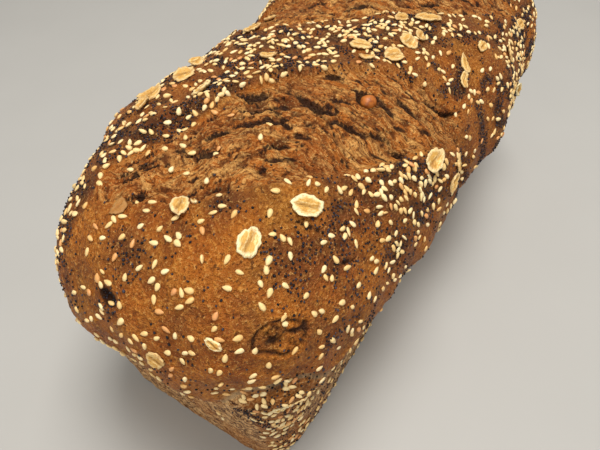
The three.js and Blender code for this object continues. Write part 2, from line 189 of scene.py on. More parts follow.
# Oat flakes: place, radius, narrowness, turn, share of browning
NEAR_FLAKES = [
    (-85, -33, 4.9, 0.62, -55, 0.12),
    (-102, -27, 3.9, 0.78, 20, 0.15),
    (-102, -6, 3.6, 0.7, 30, 0.25),
    (-17, -14, 3.9, 0.8, -70, 0.3),
    (-14, -25, 3.7, 0.95, -30, 0.35),
    (-4, -26, 3.5, 1.0, 0, 0.3),
    (17, -25, 5.0, 0.62, -60, 0.35),
    (-64, 16, 4.0, 0.7, -10, 0.25),
    (-42, -52, 4.5, 0.72, 15, 0.25),
    (-28, -57, 3.8, 0.6, 40, 0.3),
    (-70, 33, 4.2, 0.65, -20, 0.35),
    (-57, 30, 4.0, 0.6, -40, 0.3),
    (-75, 31, 3.2, 0.5, 10, 0.4),
    (-47, 33, 3.4, 0.7, 10, 0.3),
    (8, -44, 3.8, 0.45, 60, 0.3),
    (2, -46, 3.6, 0.45, 30, 0.3),
    (-108, 11, 2.9, 0.8, 10, 0.8),
    (-129, -14, 2.8, 0.95, 50, 0.35),
    (-23, -19, 2.8, 0.55, -60, 0.35),
    (4, -27, 3.0, 0.7, 20, 0.4),
    (-3, 32, 3.6, 0.7, 20, 0.35),
    (8, -18, 3.2, 0.6, -30, 0.4),
    (37, -54, 3.6, 0.6, 60, 0.35),
    (21, -46, 3.2, 0.6, 10, 0.35),
    (-35, -58, 3.6, 0.6, 60, 0.3),
    (-18, 30, 3.4, 0.6, -60, 0.3),
    (-40, 8, 3.0, 0.6, -60, 0.4),
    (74, -50, 3.8, 0.7, 10, 0.3),
    (-122, -29, 2.5, 0.5, 60, 0.2),
    (-99, -8, 2.4, 0.3, 60, 0.2),
]
CURLED_FLAKE = (-117, -44, 58, 2.5, 0.75, 20, 0.15)
LOOSE_FLAKES = 34
FLAKE_THICKNESS = 0.9

# Flakes on the crown's left rim stand up from it: where the rim starts, lean and lift
RIM_START = 26
RIM_LEAN = -0.45
RIM_LIFT = 0.7
FLAKE_RINGS = 9
FLAKE_SPOKES = 26

# Sesame: length, width and thickness, each with its spread
SESAME_SIZE = ((2.48, 0.26), (1.5, 0.15), (0.82, 0.1))
SESAME_RINGS = 4
SESAME_SIDES = 6
SESAME_COUNT = 4100
SESAME_SPACING = 1.25
CLUSTER_PLACE = (-55, -50, 99)

POPPY_SIZE = (0.68, 0.1)
POPPY_COUNT = 16000
POPPY_SPACING = 0.6

KERNEL_PLACE = (-39.6, -28)
KERNEL_SIZE = (2.8, 2.4, 2.3)

# Patches where more seeds lie: place, reach, share of sesame, share of poppy (per square mm)
SEED_PATCHES = [
    (-55, -49, 101, 7.5, 0.23, 0.35),
    (-65, -45, 104, 5.5, 0.17, 0.15),
    (-44, -54, 95, 6.5, 0.09, 0.35),
    (-57, -43, 107, 3.2, 0.03, 1.6),
    (-52, -46, 105, 3.2, 0.03, 1.7),
    (-47, -50, 101, 3.4, 0.03, 1.7),
    (-50, -56, 90, 4, 0.04, 1.2),
    (-68, -53, 89, 4.5, 0.05, 0.9),
    (-85, -41, 103, 4.5, 0.01, 0.5),
    (-118, -42, 68, 6, 0.03, 0.1),
    (-86, -12, 115, 5, 0.015, 0.7),
    (-97, -16, 113, 5, 0.02, 0.3),
    (-121, 26, 94, 6, 0.0, 0.28),
    (-127, 20, 86, 6, 0.0, 0.22),
    (-117, 1, 104, 6, 0.01, 0.45),
    (-108, -9, 110, 5, 0.01, 0.2),
    (-126, 2, 93, 3, 0.1, 1.3),
    (-78, -40, 105, 5, 0.01, 0.4),
    (-101, -38, 101, 6, 0.0, 0.45),
    (-89, -42, 102, 6, 0.01, 0.35),
    (-98, -33, 106, 5, 0.0, 0.3),
    (-42, 3, 118, 5, 0.02, 0.8),
    (-34, -15, 117, 4, 0.01, 0.6),
    (-62, 13, 117, 6, 0.03, 0.8),
    (-84, 19, 114, 6, 0.03, 0.7),
    (-93, 34, 106, 7, 0.02, 0.5),
    (-130, -20, 80, 9, 0.0, 0.06),
    (-118, -24, 96, 12, 0.015, 0.03),
    (-90, -50, 92, 9, 0.01, 0.12),
    (-66, -56, 86, 9, 0.02, 0.2),
    (-108, -50, 84, 9, 0.015, 0.08),
]

# A dense streak of poppy seeds down the near end wall: its corners, reach and share of poppy
STREAK = [(-121.5, -21, 62), (-121.5, -31, 56), (-121, -35, 52), (-120, -39, 46), (-119, -40.5, 36)]
STREAK_REACH = 2.2
STREAK_SHARE = 2.6

# Camera: focal length in pixels, angles in degrees, place over the tin's middle
FOCAL_PIXELS = 487.1
CAMERA_PITCH = 47.01
CAMERA_ROLL = 1.38
CAMERA_YAW = 32.11
CAMERA_PLACE = (-160.49, -78.22, 197.11)

RANDOM_SEED = 3108


def smoothstep(value, low, high):
    """0 below low, 1 above high and smooth between."""
    share = np.clip((value - low) / (high - low), 0, 1)
    return share * share * (3 - 2 * share)


def corner_numbers(x, y, z, seed):
    """Repeatable whole numbers for whole places."""
    mixed = (x * 73856093) ^ (y * 19349663) ^ (z * 83492791) ^ (seed * 2654435761)
    mixed = (mixed ^ (mixed >> 13)) & 0xFFFFFFFF
    mixed = (mixed * 1274126177) & 0xFFFFFFFF
    return (mixed ^ (mixed >> 16)) & 0xFFFFFFFF


def noise(points, size, seed):
    """Smooth noise from about -1 to 1 at places, with features of that size."""
    scaled = points / size + seed * 17.31
    whole = np.floor(scaled).astype(np.int64)
    part = scaled - whole
    fade = part**3 * (part * (part * 6 - 15) + 10)
    total = np.zeros(len(points))
    for dx in (0, 1):
        for dy in (0, 1):
            for dz in (0, 1):
                number = corner_numbers(whole[:, 0] + dx, whole[:, 1] + dy, whole[:, 2] + dz, seed)
                slope_x = (number & 1023) / 511.5 - 1
                slope_y = ((number >> 10) & 1023) / 511.5 - 1
                slope_z = ((number >> 20) & 1023) / 511.5 - 1
                value = slope_x * (part[:, 0] - dx) + slope_y * (part[:, 1] - dy) + slope_z * (part[:, 2] - dz)
                weight_x = fade[:, 0] if dx else 1 - fade[:, 0]
                weight_y = fade[:, 1] if dy else 1 - fade[:, 1]
                weight_z = fade[:, 2] if dz else 1 - fade[:, 2]
                total += value * weight_x * weight_y * weight_z
    return total * 1.6


def rough_noise(points, size, octaves, seed, fall=0.5):
    """Noise with finer and weaker copies of itself on top."""
    total = np.zeros(len(points))
    strength = 1.0
    for octave in range(octaves):
        total += strength * noise(points, size / 2**octave, seed + octave)
        strength *= fall
    return total


def wall_plan(share):
    """Half length, half width, corner powers, crown share and height of a ring of the wall."""
    height = share * RIM_HEIGHT
    flare = WALL_FLARE * share
    inset = BASE_EDGE - math.sqrt(BASE_EDGE**2 - max(0, BASE_EDGE - height) ** 2)
    half_length = BASE_LENGTH / 2 + flare - inset
    half_width = BASE_WIDTH / 2 + flare - inset
    return half_length, half_width, TIN_CORNER_POWER, TIN_CORNER_POWER, 0, height


def overhang_plan(share):
    """The same of a ring of the overhang, from the rim (share 0) to the widest ring (share 1)."""
    swell = math.sqrt(1 - (1 - share) ** 2)
    power_x = TIN_CORNER_POWER + (CROWN_POWER_X - TIN_CORNER_POWER) * swell
    power_y = TIN_CORNER_POWER + (CROWN_POWER_Y - TIN_CORNER_POWER) * swell
    half_length = BASE_LENGTH / 2 + WALL_FLARE + OVERHANG_END * swell
    half_width = BASE_WIDTH / 2 + WALL_FLARE + OVERHANG_SIDE * swell
    return half_length, half_width, power_x, power_y, swell, RIM_HEIGHT + (WIDEST_HEIGHT - RIM_HEIGHT) * share


def plan_points(u, v, plan, scale=1):
    """Places at (u, v) of the square from -1 to 1, pushed out to the superellipse of a plan."""
    half_length, half_width, power_x, power_y, crown, _ = plan
    total = np.abs(u) ** power_x + np.abs(v) ** power_y
    x = half_length * scale * u / total ** (1 / power_x)
    y = half_width * scale * v / total ** (1 / power_y)
    middle = np.maximum(0, 1 - (x / half_length) ** 2)
    edge = np.minimum(1, np.abs(y / half_width)) ** 2
    return x, y + crown * (CROWN_LEAN + np.sign(y) * MIDDLE_BULGE * middle * edge)


def dome_points(u, v):
    """Places of the dome over (u, v) of the square from -1 to 1."""
    ring = np.maximum(np.abs(u), np.abs(v))
    safe = np.maximum(ring, 1e-9)
    edge_u = np.where(ring > 0, u / safe, 1)
    edge_v = np.where(ring > 0, v / safe, 0)
    scale = np.sin(ring * np.pi / 2)
    x, y = plan_points(edge_u, edge_v, overhang_plan(1), scale)
    share_x = np.abs(edge_u) ** CROWN_POWER_X
    share_y = np.abs(edge_v) ** CROWN_POWER_Y
    spread = (share_x * scale**CROWN_POWER_X + share_y * scale**CROWN_POWER_Y) / (share_x + share_y)
    rise = np.maximum(0, 1 - spread) ** (1 / DOME_POWER)
    return np.stack([x, y, WIDEST_HEIGHT + CROWN_RISE * rise], -1)


def finer_middle(steps):
    """Steps from -1 to 1, closer together in the middle."""
    return steps - MIDDLE_FINENESS * steps * (1 - steps**2) ** 2


def square_edge():
    """Steps (i, j) along the edge of the dome's grid, in order."""
    near = [(i, 0) for i in range(STEPS_LENGTH)]
    right = [(STEPS_LENGTH, j) for j in range(STEPS_WIDTH)]
    far = [(i, STEPS_WIDTH) for i in range(STEPS_LENGTH, 0, -1)]
    left = [(0, j) for j in range(STEPS_WIDTH, 0, -1)]
    return np.array(near + right + far + left)


def ring_faces(upper, lower):
    """Quads between two rings of corner numbers."""
    return np.stack([upper, lower, np.roll(lower, -1), np.roll(upper, -1)], -1)


def smooth_body():
    """Corners and quads of the smooth body: dome, overhang, wall, rounded edge and base."""
    steps_u = finer_middle(2 * np.arange(STEPS_LENGTH + 1) / STEPS_LENGTH - 1)
    steps_v = finer_middle(2 * np.arange(STEPS_WIDTH + 1) / STEPS_WIDTH - 1)
    u, v = np.meshgrid(steps_u, steps_v, indexing="ij")
    dome = dome_points(u.ravel(), v.ravel())
    number = np.arange(len(dome)).reshape(STEPS_LENGTH + 1, STEPS_WIDTH + 1)
    quads = [np.stack([number[:-1, :-1], number[1:, :-1], number[1:, 1:], number[:-1, 1:]], -1).reshape(-1, 4)]
    corners = [dome]
    edge = square_edge()
    edge_u = steps_u[edge[:, 0]]
    edge_v = steps_v[edge[:, 1]]
    plans = [overhang_plan(1 - (k + 1) / OVERHANG_ROWS) for k in range(OVERHANG_ROWS)]
    edge_share = BASE_EDGE / RIM_HEIGHT
    plans += [wall_plan(1 - (1 - edge_share) * (k + 1) / WALL_ROWS) for k in range(WALL_ROWS)]
    for k in range(EDGE_ROWS):
        turn = (k + 1) / EDGE_ROWS * math.pi / 2
        plans.append(wall_plan(edge_share * (1 - math.sin(turn)) if k + 1 < EDGE_ROWS else 0))
    upper = number[edge[:, 0], edge[:, 1]]
    count = len(dome)
    for plan in plans:
        x, y = plan_points(edge_u, edge_v, plan)
        corners.append(np.stack([x, y, np.full(len(x), plan[5])], -1))
        lower = count + np.arange(len(edge))
        quads.append(ring_faces(upper, lower))
        upper = lower
        count += len(edge)
    outer = corners[-1]
    for k in range(BASE_RINGS):
        share = 1 - (k + 1) / (BASE_RINGS + 0.5)
        corners.append(outer * [share, share, 1])
        lower = count + np.arange(len(edge))
        quads.append(ring_faces(upper, lower))
        upper = lower
        count += len(edge)
    return np.concatenate(corners), np.concatenate(quads), upper


def corner_normals(corners, quads):
    """Smooth outward normals at the corners."""
    a, b, c, d = (corners[quads[:, k]] for k in range(4))
    face = np.cross(c - a, d - b)
    total = np.zeros_like(corners)
    for k in range(4):
        for axis in range(3):
            total[:, axis] += np.bincount(quads[:, k], face[:, axis], len(corners))
    length = np.linalg.norm(total, axis=1, keepdims=True)
    return total / np.maximum(length, 1e-12)


def place_in_tear(x, y, tear):
    """How far along and across a tear places lie, its taper and width there, and past its edge."""
    tear_x, tear_y, turn, left, right, half_width = tear
    angle = math.radians(turn)
    along = (x - tear_x) * math.cos(angle) + (y - tear_y) * math.sin(angle)
    across = (y - tear_y) * math.cos(angle) - (x - tear_x) * math.sin(angle)
    share = along / np.where(along < 0, left, right)
    taper = np.maximum(0, 1 - share**2)
    width = half_width * taper ** np.where(along < 0, TIP_BLUNTNESS[0], TIP_BLUNTNESS[1])
    beyond = np.maximum(0, np.abs(share) - 1) * right
    past = np.where(beyond > 0, np.hypot(beyond, across), np.abs(across) - width)
    return along, across, taper, width, past


def tear_relief(x, y):
    """Sunken floor of the tears, highest along their middle, with a raised lip outside."""
    relief = np.zeros(len(x))
    for tear in TEARS:
        _, across, taper, width, past = place_in_tear(x, y, tear)
        shore = np.clip(-past / TEAR_SHORE, 0, 1)
        floor = -TEAR_DEPTH * shore * (2 - shore) * np.sqrt(taper)
        floor += TEAR_CROWN * taper * (1 - (across / np.maximum(width, 1e-6)) ** 2)
        lip = np.exp(-((past / LIP_WIDTH) ** 2)) * np.sqrt(taper)
        rise = LIP_HEIGHT * lip * np.where(across > 0, 1, LOWER_LIP_SHARE)
        relief += np.where(past < 0, floor, rise)
    return relief


def lobe_relief(points):
    """Lobes and notches along the long sides of the crown."""
    x, y, z = points.T
    raised = smoothstep(z - RIM_HEIGHT, *LOBE_RAISED)
    relief = np.zeros(len(x))
    for place, side, reach, height in LOBES:
        sideways = smoothstep(side * y, *LOBE_SIDEWAYS)
        relief += height * sideways * raised * np.exp(-(((x - place) / reach) ** 2))
    return relief


def wave_relief(points):
    """Slow unevenness, weaker on the walls that lay against the tin and none at the base."""
    x, y, z = points.T
    relief = np.zeros(len(x))
    for along, across, up, start, height in WAVES:
        relief += height * np.sin(along * x + across * y + up * z + start)
    on_crown = smoothstep(z, RIM_HEIGHT - 5, RIM_HEIGHT + 10)
    off_base = smoothstep(z, 1, 12)
    return relief * (WALL_WAVE_SHARE * off_base + (1 - WALL_WAVE_SHARE) * on_crown)


def tuck_relief(points):
    """The crown drawn in at the near corner, over the end wall."""
    away = (points - np.array(TUCK_PLACE)) / np.array(TUCK_REACH)
    return -TUCK_DEPTH * np.exp(-(away**2).sum(1))


def past_torn_edge(points):
    """How far past the edge of the nearer tear's torn crumb places lie, below 0 inside it."""
    nearest = np.full(len(points), 1e3)
    for number, tear in enumerate(TEARS):
        along, across, _, _, past = place_in_tear(points[:, 0], points[:, 1], tear)
        for other, side, place, reach, shift in EDGE_SHIFTS:
            if other == number:
                here = smoothstep(side * across, -2, 4)
                past = past + shift * here * np.exp(-(((along - place) / reach) ** 2))
        nearest = np.minimum(nearest, past)
    return nearest


def torn_share(points):
    """1 where the crust is torn open and 0 elsewhere, with a frayed edge."""
    fray = 1.8 * rough_noise(points, 9, 3, 40) + 0.8 * noise(points, 2.2, 44)
    share = smoothstep(-(past_torn_edge(points) + fray), -1.2, 2.2)
    return share * smoothstep(points[:, 2], WIDEST_HEIGHT - 2, WIDEST_HEIGHT + 5)


def fibre_slope(along):
    """How much the fibres slant across a tear at places along it."""
    start, end = FIBRE_TURNS
    return FIBRE_SLANT * (smoothstep(along, *start) - 0.5 * smoothstep(along, *end))


def fibre_lines(points):
    """Place along and across the fibres of the nearer tear, which sweep over it in curves."""
    warp = 4.2 * noise(points, 15, 49) + 2.4 * noise(points, 6, 50) + 0.8 * noise(points, 2.5, 48)
    steps = np.arange(-120.0, 121.0)
    drift = np.cumsum(fibre_slope(steps))
    first, second = (place_in_tear(points[:, 0], points[:, 1], tear) for tear in TEARS)
    nearer = first[4] < second[4]
    along = np.where(nearer, first[0], second[0] + 300)
    across = np.where(nearer, first[1], second[1])
    own = np.where(nearer, first[0], second[0])
    return along, across + np.interp(own, steps, drift) + warp


def fibre_noise(lines, long, wide, seed):
    """Noise drawn out along the fibres."""
    along, across = lines
    return noise(np.stack([along / long, across / wide, np.zeros(len(along))], -1), 1, seed)


def torn_relief(points, torn, lines):
    """Ridges, strands and small bubbles of the torn crumb."""
    ridge = 1 - 2.2 * np.abs(fibre_noise(lines, 8.0, 3.4, 51))
    strand = 1 - 2.2 * np.abs(fibre_noise(lines, 3.4, 1.7, 53))
    thread = fibre_noise(lines, 1.9, 1.1, 55)
    level = 1.7 * fibre_noise(lines, 12, 6, 56)
    climb = level - np.floor(level)
    ledge = climb * smoothstep(1 - climb, 0, 0.12)
    relief = 0.5 * ridge + 0.36 * strand + 0.22 * thread + 0.55 * ledge + 0.4 * noise(points, 2.4, 58)
    relief -= 0.8 * smoothstep(noise(points, 2.8, 57), 0.32, 0.64)
    relief -= 0.6 * smoothstep(noise(points, 1.7, 59), 0.34, 0.6)
    return torn * (relief - 0.65)


def small_slits(random):
    """Slits strewn over the floors of the tears, each along the fibres there."""
    slits = []
    for tear_x, tear_y, turn, left, right, half_width in TEARS:
        angle = math.radians(turn)
        for _ in range(SMALL_SLITS):
            along = random.uniform(-0.86 * left, 0.86 * right)
            room = half_width * (1 - (along / right) ** 2) ** 0.5
            across = random.uniform(-0.8, 0.8) * room
            x = tear_x + along * math.cos(angle) - across * math.sin(angle)
            y = tear_y + along * math.sin(angle) + across * math.cos(angle)
            slant = math.degrees(math.atan(float(fibre_slope(np.array(along)))))
            lean = turn - slant + random.normal(0, 9)
            length, width, depth = (random.uniform(*size) for size in SMALL_SLIT_RANGES)
            slits.append((x, y, lean, length, width, depth, random.normal(0.02, 0.02)))
    return slits


def crust_relief(points, torn, crown):
    """Fine lumps and wrinkles of the whole crust, and the flat bubbles of the tin's side."""
    lumps = 0.5 * rough_noise(points, 15, 2, 60) + 0.26 * rough_noise(points, 5.5, 2, 63)
    grain = 0.16 * rough_noise(points, 1.9, 2, 66)
    flat = points * [1, 1, 1.7]
    tin_side = 0.5 * rough_noise(flat, 6, 3, 70) - 0.6 * smoothstep(noise(flat, 4.0, 73), 0.34, 0.7)
    off_base = smoothstep(points[:, 2], 0.4, 3)
    crease = -0.7 * 4 * crown * (1 - crown)
    return crown * (1 - 0.5 * torn) * (lumps + grain) + (1 - crown) * off_base * tin_side + crease


class Surface:
    """The crust's mesh while it is shaped, with a search for the place under a point."""

    def __init__(self, corners, quads, last_ring):
        self.corners = corners
        self.quads = quads
        self.last_ring = last_ring
        self.normals = corner_normals(corners, quads)
        self.search = None

    def push(self, relief):
        """Moves every corner along its normal."""
        self.corners = self.corners + self.normals * relief[:, None]

    def renew(self):
        """Works the normals and the search out again."""
        self.normals = corner_normals(self.corners, self.quads)
        self.search = BVHTree.FromPolygons(self.corners.tolist(), self.quads.tolist())

    def nearest(self, x, y, z):
        """The nearest place on the crust, and the normal there."""
        place, _, face, _ = self.search.find_nearest(Vector((x, y, z)))
        normal = self.normals[self.quads[face]].mean(0)
        return np.array(place), normal / np.linalg.norm(normal)

    def below(self, x, y):
        """Place and normal on the crown straight below (x, y)."""
        place, _, face, _ = self.search.ray_cast(Vector((x, y, 200)), Vector((0, 0, -1)))
        normal = self.normals[self.quads[face]].mean(0)
        return np.array(place), normal / np.linalg.norm(normal), face


def tangents(normal, turn):
    """Two unit vectors in the surface, the first turned by an angle in plan."""
    angle = math.radians(turn)
    first = np.array([math.cos(angle), math.sin(angle), 0])
    first = first - normal * (first @ normal)
    first /= np.linalg.norm(first)
    return first, np.cross(normal, first)


def cut_relief(surface, slits):
    """Relief and sideways shift of slits under an upper lip, and the painted shade that darkens each place in them.
    """
    relief = np.zeros(len(surface.corners))
    hollow = np.zeros(len(surface.corners))
    shift = np.zeros((len(surface.corners), 3))
    for x, y, turn, half_length, half_width, depth, bend in slits:
        place, normal, _ = surface.below(x, y)
        first, second = tangents(normal, turn)
        reach = surface.corners - place
        near = np.nonzero((reach**2).sum(1) < (2.2 * half_length) ** 2)[0]
        along = reach[near] @ first
        across = reach[near] @ second - bend * along**2
        across = across + 0.25 * noise(surface.corners[near], 3.0, 80)
        taper = np.clip(1 - (along / half_length) ** 2, 0, 1)
        width = half_width * np.sqrt(taper) + 1e-3
        drop = smoothstep(width - across, -0.5, 1.1)
        climb = smoothstep(across + width, -0.9 * width, 1.5 * width)
        inside = drop * climb * np.sqrt(taper)
        relief[near] -= depth * inside
        lip = np.exp(-(((across - width - 0.5) / 1.0) ** 2)) * taper
        relief[near] += 0.24 * depth * lip
        shift[near] -= (SLIT_OVERHANG * depth * lip)[:, None] * second
        # Painted shade inside the slit, under its upper lip
        dark = smoothstep(width - across, -0.45, 0.45) * climb * taper**0.3
        hollow[near] = np.maximum(hollow[near], dark)
    return relief, hollow, shift


def scar_relief(surface):
    """The blister scar: an uneven crease round a lumpy middle with a sunken core, all three darkened with painted
    shade.
    """
    place, normal, _ = surface.below(*SCAR_PLACE)
    first, second = tangents(normal, SCAR_TURN)
    reach = surface.corners - place
    relief = np.zeros(len(surface.corners))
    hollow = np.zeros(len(surface.corners))
    near = np.nonzero((reach**2).sum(1) < 16**2)[0]
    here = surface.corners[near]
    along = (reach[near] @ first) / SCAR_SIZE[0]
    across = (reach[near] @ second) / SCAR_SIZE[1]
    ring = np.hypot(along, across) + 0.13 * noise(here, 4.5, 84) + 0.07 * noise(here, 1.8, 83)
    gap = smoothstep(noise(here, 7, 85), -0.6, 0.0)
    crease = np.exp(-(((ring - 1) / 0.1) ** 2)) * (0.85 + 0.15 * gap)
    lumpy = smoothstep(1 - ring, 0, 0.25)
    wrinkle = lumpy * smoothstep(1 - 4 * np.abs(noise(here, 3.4, 86)), 0.2, 1)
    core_along = reach[near] @ first - SCAR_CORE[0]
    core_across = reach[near] @ second - SCAR_CORE[1]
    core = np.exp(-((core_along / 2.0) ** 2) - (core_across / 1.2) ** 2)
    relief[near] = 0.6 * np.exp(-(((ring - 1.22) / 0.15) ** 2)) - 0.7 * crease - 0.8 * wrinkle - 1.5 * core
    relief[near] += lumpy * 0.5 * noise(here, 2.2, 88)
    # Painted shade in the crease, the wrinkles and the sunken core
    hollow[near] = np.maximum(np.maximum(0.66 * crease, 0.55 * wrinkle), 0.85 * core)
    return relief, hollow


def crown_share(points):
    """1 on the crown and 0 on the walls, which reach higher at the corners of the loaf."""
    x, y, z = points.T
    corner = smoothstep(np.abs(x), 98, 112) * smoothstep(np.abs(y), 24, 37)
    edge = RIM_HEIGHT + CORNER_RISE * corner + 1.2 * noise(points, 9, 75) + 1.8 * noise(points, 32, 76)
    return smoothstep(z - edge, -1, 4)


def shape_crust(random):
    """The crust's surface and what its colours follow: torn, crown, painted shade in slits, pits and creases, and
    height of relief.
    """
    surface = Surface(*smooth_body())
    points = surface.corners.copy()
    broad = wave_relief(points) + lobe_relief(points) + tuck_relief(points)
    broad += np.where(points[:, 2] > WIDEST_HEIGHT, tear_relief(points[:, 0], points[:, 1]), 0)
    surface.push(broad)
    surface.renew()
    points = surface.corners.copy()
    torn = torn_share(points)
    crown = crown_share(points)
    lines = fibre_lines(points)
    slits, slit_painted_shade, shift = cut_relief(surface, SLITS + PITS + small_slits(random))
    scar, scar_painted_shade = scar_relief(surface)
    fine = torn_relief(points, torn, lines) + crust_relief(points, torn, crown)
    surface.push(fine + slits + scar)
    surface.corners = surface.corners + shift
    broad_normals = surface.normals
    surface.renew()
    surface.normals = broad_normals
    looks = {
        "torn": torn,
        "crown": crown,
        "hollow": np.maximum(slit_painted_shade, scar_painted_shade),
        # Height of the fine relief, used for painted highlight on lumps and painted shade in dips
        "raised": np.clip(0.5 + 0.4 * fine, 0, 1),
        "height": fine + slits + scar,
        "fibre_along": lines[0],
        "fibre_across": lines[1],
    }
    # Where seeds lie thick, for crust darkened there: partly stain, partly painted shade between crowded seeds
    seed_crowding = seed_wanted(points, looks, 1) / 1.1 + seed_wanted(points, looks, 0) / 0.13
    looks["seeded"] = np.clip(seed_crowding, 0, 1)
    return surface, looks


def to_place(corners):
    """Millimetres over the tin's middle, as metres in the solid's frame."""
    return (corners + BASE_MIDDLE) * MM


def new_piece(name, corners, faces, values=None, look=None):
    """A mesh object from corners in millimetres, arrays of faces and numbers kept at its corners."""
    mesh = bpy.data.meshes.new(name)
    loops = np.concatenate([f.ravel() for f in faces])
    sizes = np.concatenate([np.full(len(f), f.shape[1]) for f in faces])
    mesh.vertices.add(len(corners))
    mesh.vertices.foreach_set("co", to_place(corners).astype(np.float32).ravel())
    mesh.loops.add(len(loops))
    mesh.loops.foreach_set("vertex_index", loops.astype(np.int32))
    mesh.polygons.add(len(sizes))
    starts = np.concatenate([[0], np.cumsum(sizes)[:-1]])
    mesh.polygons.foreach_set("loop_start", starts.astype(np.int32))
    mesh.polygons.foreach_set("use_smooth", np.ones(len(sizes), bool))
    for key, numbers in (values or {}).items():
        kept = mesh.attributes.new(key, "FLOAT", "POINT")
        kept.data.foreach_set("value", np.asarray(numbers, np.float32))
    mesh.update(calc_edges=True)
    mesh.validate()
    piece = bpy.data.objects.new(name, mesh)
    bpy.context.scene.collection.objects.link(piece)
    mesh.materials.append(look)
    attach(piece, "root")
    return piece


def seed_wanted(points, looks, kind):
    """Seeds wanted for each square millimetre at places: kind 0 is sesame and 1 is poppy."""
    x, y, z = points.T
    _, across_1, _, _, past_1 = place_in_tear(x, y, TEARS[0])
    across_2 = place_in_tear(x, y, TEARS[1])[1]
    between = smoothstep(across_1, -4, 4) * smoothstep(-across_2, -4, 4)
    beyond = smoothstep(across_2, -2, 6)
    near = smoothstep(-across_1, -4, 4)
    far_band = between * (0.1, 0.7)[kind] + beyond * (0.085, 0.6)[kind]
    far_band *= 1 - (0.3, 0.2)[kind] * smoothstep(-y, 18, 42)
    far_band *= 1 - (0.5, 0.4)[kind] * smoothstep(-y, 28, 38) * smoothstep(-x, -34, -10)
    far_band *= 1 - (0.4, 0.2)[kind] * smoothstep(y, 2, 22) * smoothstep(-x, 24, 50)
    if kind == 1:
        far_band *= 1 - 0.55 * smoothstep(y, 18, 30)
    left_rim = smoothstep(y, 4, 22) * smoothstep(-x, 88, 104)
    low_flank = smoothstep(-y, 40, 50)
    crown = far_band + near * (0.028, 0.008)[kind] * (1 - 0.6 * left_rim) * (1 - 0.5 * low_flank)
    seam = np.exp(-np.maximum(0, past_1) / 5) * near * smoothstep(x, -92, -70)
    crown += seam * (0.04, 0.3)[kind]
    crown += low_flank * near * (0.004, 0.1)[kind]
    patchy = 0.62 + 0.76 * smoothstep(noise(points, 13, 90), -0.5, 0.6)
    if kind == 1:
        patchy = 0.06 + 2.4 * smoothstep(noise(points, 7.5, 92), 0.0, 0.45)
    crown *= patchy
    patches = np.zeros(len(points))
    for px, py, pz, reach, *share in SEED_PATCHES:
        away = (x - px) ** 2 + (y - py) ** 2 + (z - pz) ** 2
        patches += share[kind] * np.exp(-away / reach**2)
    if kind == 1:
        patches += STREAK_SHARE * np.exp(-((from_line(points, STREAK) / STREAK_REACH) ** 2))
    crown = (crown + patches) * (1 - smoothstep(-past_torn_edge(points), -1.5, 1.5))
    few_torn = smoothstep(-past_1, 0, 2) * smoothstep(-x, 60, 84) * (0.008, 0.006)[kind]
    crown += few_torn
    side = (np.abs(y) > BASE_WIDTH / 2 - 3) | (np.abs(x) < BASE_LENGTH / 2 - 3)
    wedge = smoothstep(y * np.sign(x) - 35, -2.5, 1.5)
    end_wall = 0.001 + wedge * (0.062, 0.1)[kind]
    side_wall = (0.026, 0.08)[kind] * (0.4 + 1.2 * smoothstep(noise(points, 16, 95), -0.4, 0.5))
    corner = smoothstep(np.abs(x), 98, 112) * (0.062, 0.08)[kind]
    wall = np.where(side, side_wall + corner, end_wall) * smoothstep(z, 1.5, 6)
    return crown * looks["crown"] + (wall + patches) * (1 - looks["crown"])


def from_line(points, line):
    """How far places are from a line with corners."""
    nearest = np.full(len(points), 1e3)
    for start, end in zip(np.array(line[:-1], float), np.array(line[1:], float)):
        run = end - start
        share = np.clip((points - start) @ run / (run @ run), 0, 1)
        away = np.linalg.norm(points - start - share[:, None] * run, axis=1)
        nearest = np.minimum(nearest, away)
    return nearest


def face_middles(surface, numbers):
    """Mean over each face's four corners."""
    return numbers[surface.quads].mean(1)


def scatter(surface, looks, kind, count, spacing, taken, random):
    """Places, normals and faces for seeds: as many as wanted and never closer than the spacing."""
    middles = face_middles(surface, surface.corners)
    a, b, c, d = (surface.corners[surface.quads[:, k]] for k in range(4))
    area = np.linalg.norm(np.cross(c - a, d - b), axis=1) / 2
    density = face_middles(surface, seed_wanted(surface.corners, looks, kind))
    wanted = density * area
    wanted[middles[:, 2] < 0.5] = 0
    total = min(count, int(wanted.sum()))
    faces = random.choice(len(wanted), size=int(total * 1.5), p=wanted / wanted.sum())
    share = random.random((len(faces), 2))
    s, t = share[:, :1], share[:, 1:]
    places = (1 - s) * (1 - t) * a[faces] + s * (1 - t) * b[faces] + s * t * c[faces] + (1 - s) * t * d[faces]
    rooms = spacing / 2 * np.clip(0.35 / np.sqrt(density[faces] + 1e-6), 1, 2)
    kept = []
    cell = 4.0
    for number, (place, own_room) in enumerate(zip(places, rooms)):
        key = tuple((place // cell).astype(int))
        crowded = False
        for dx in (-1, 0, 1):
            for dy in (-1, 0, 1):
                for dz in (-1, 0, 1):
                    for other, room in taken.get((key[0] + dx, key[1] + dy, key[2] + dz), ()):
                        gap = place - other
                        if gap @ gap < (own_room + room) ** 2:
                            crowded = True
                            break
        if crowded:
            continue
        taken.setdefault(key, []).append((place, spacing / 2))
        kept.append(number)
        if len(kept) == total:
            break
    faces = faces[kept]
    normals = surface.normals[surface.quads[faces]].mean(1)
    normals /= np.linalg.norm(normals, axis=1, keepdims=True)
    return places[kept], normals, faces


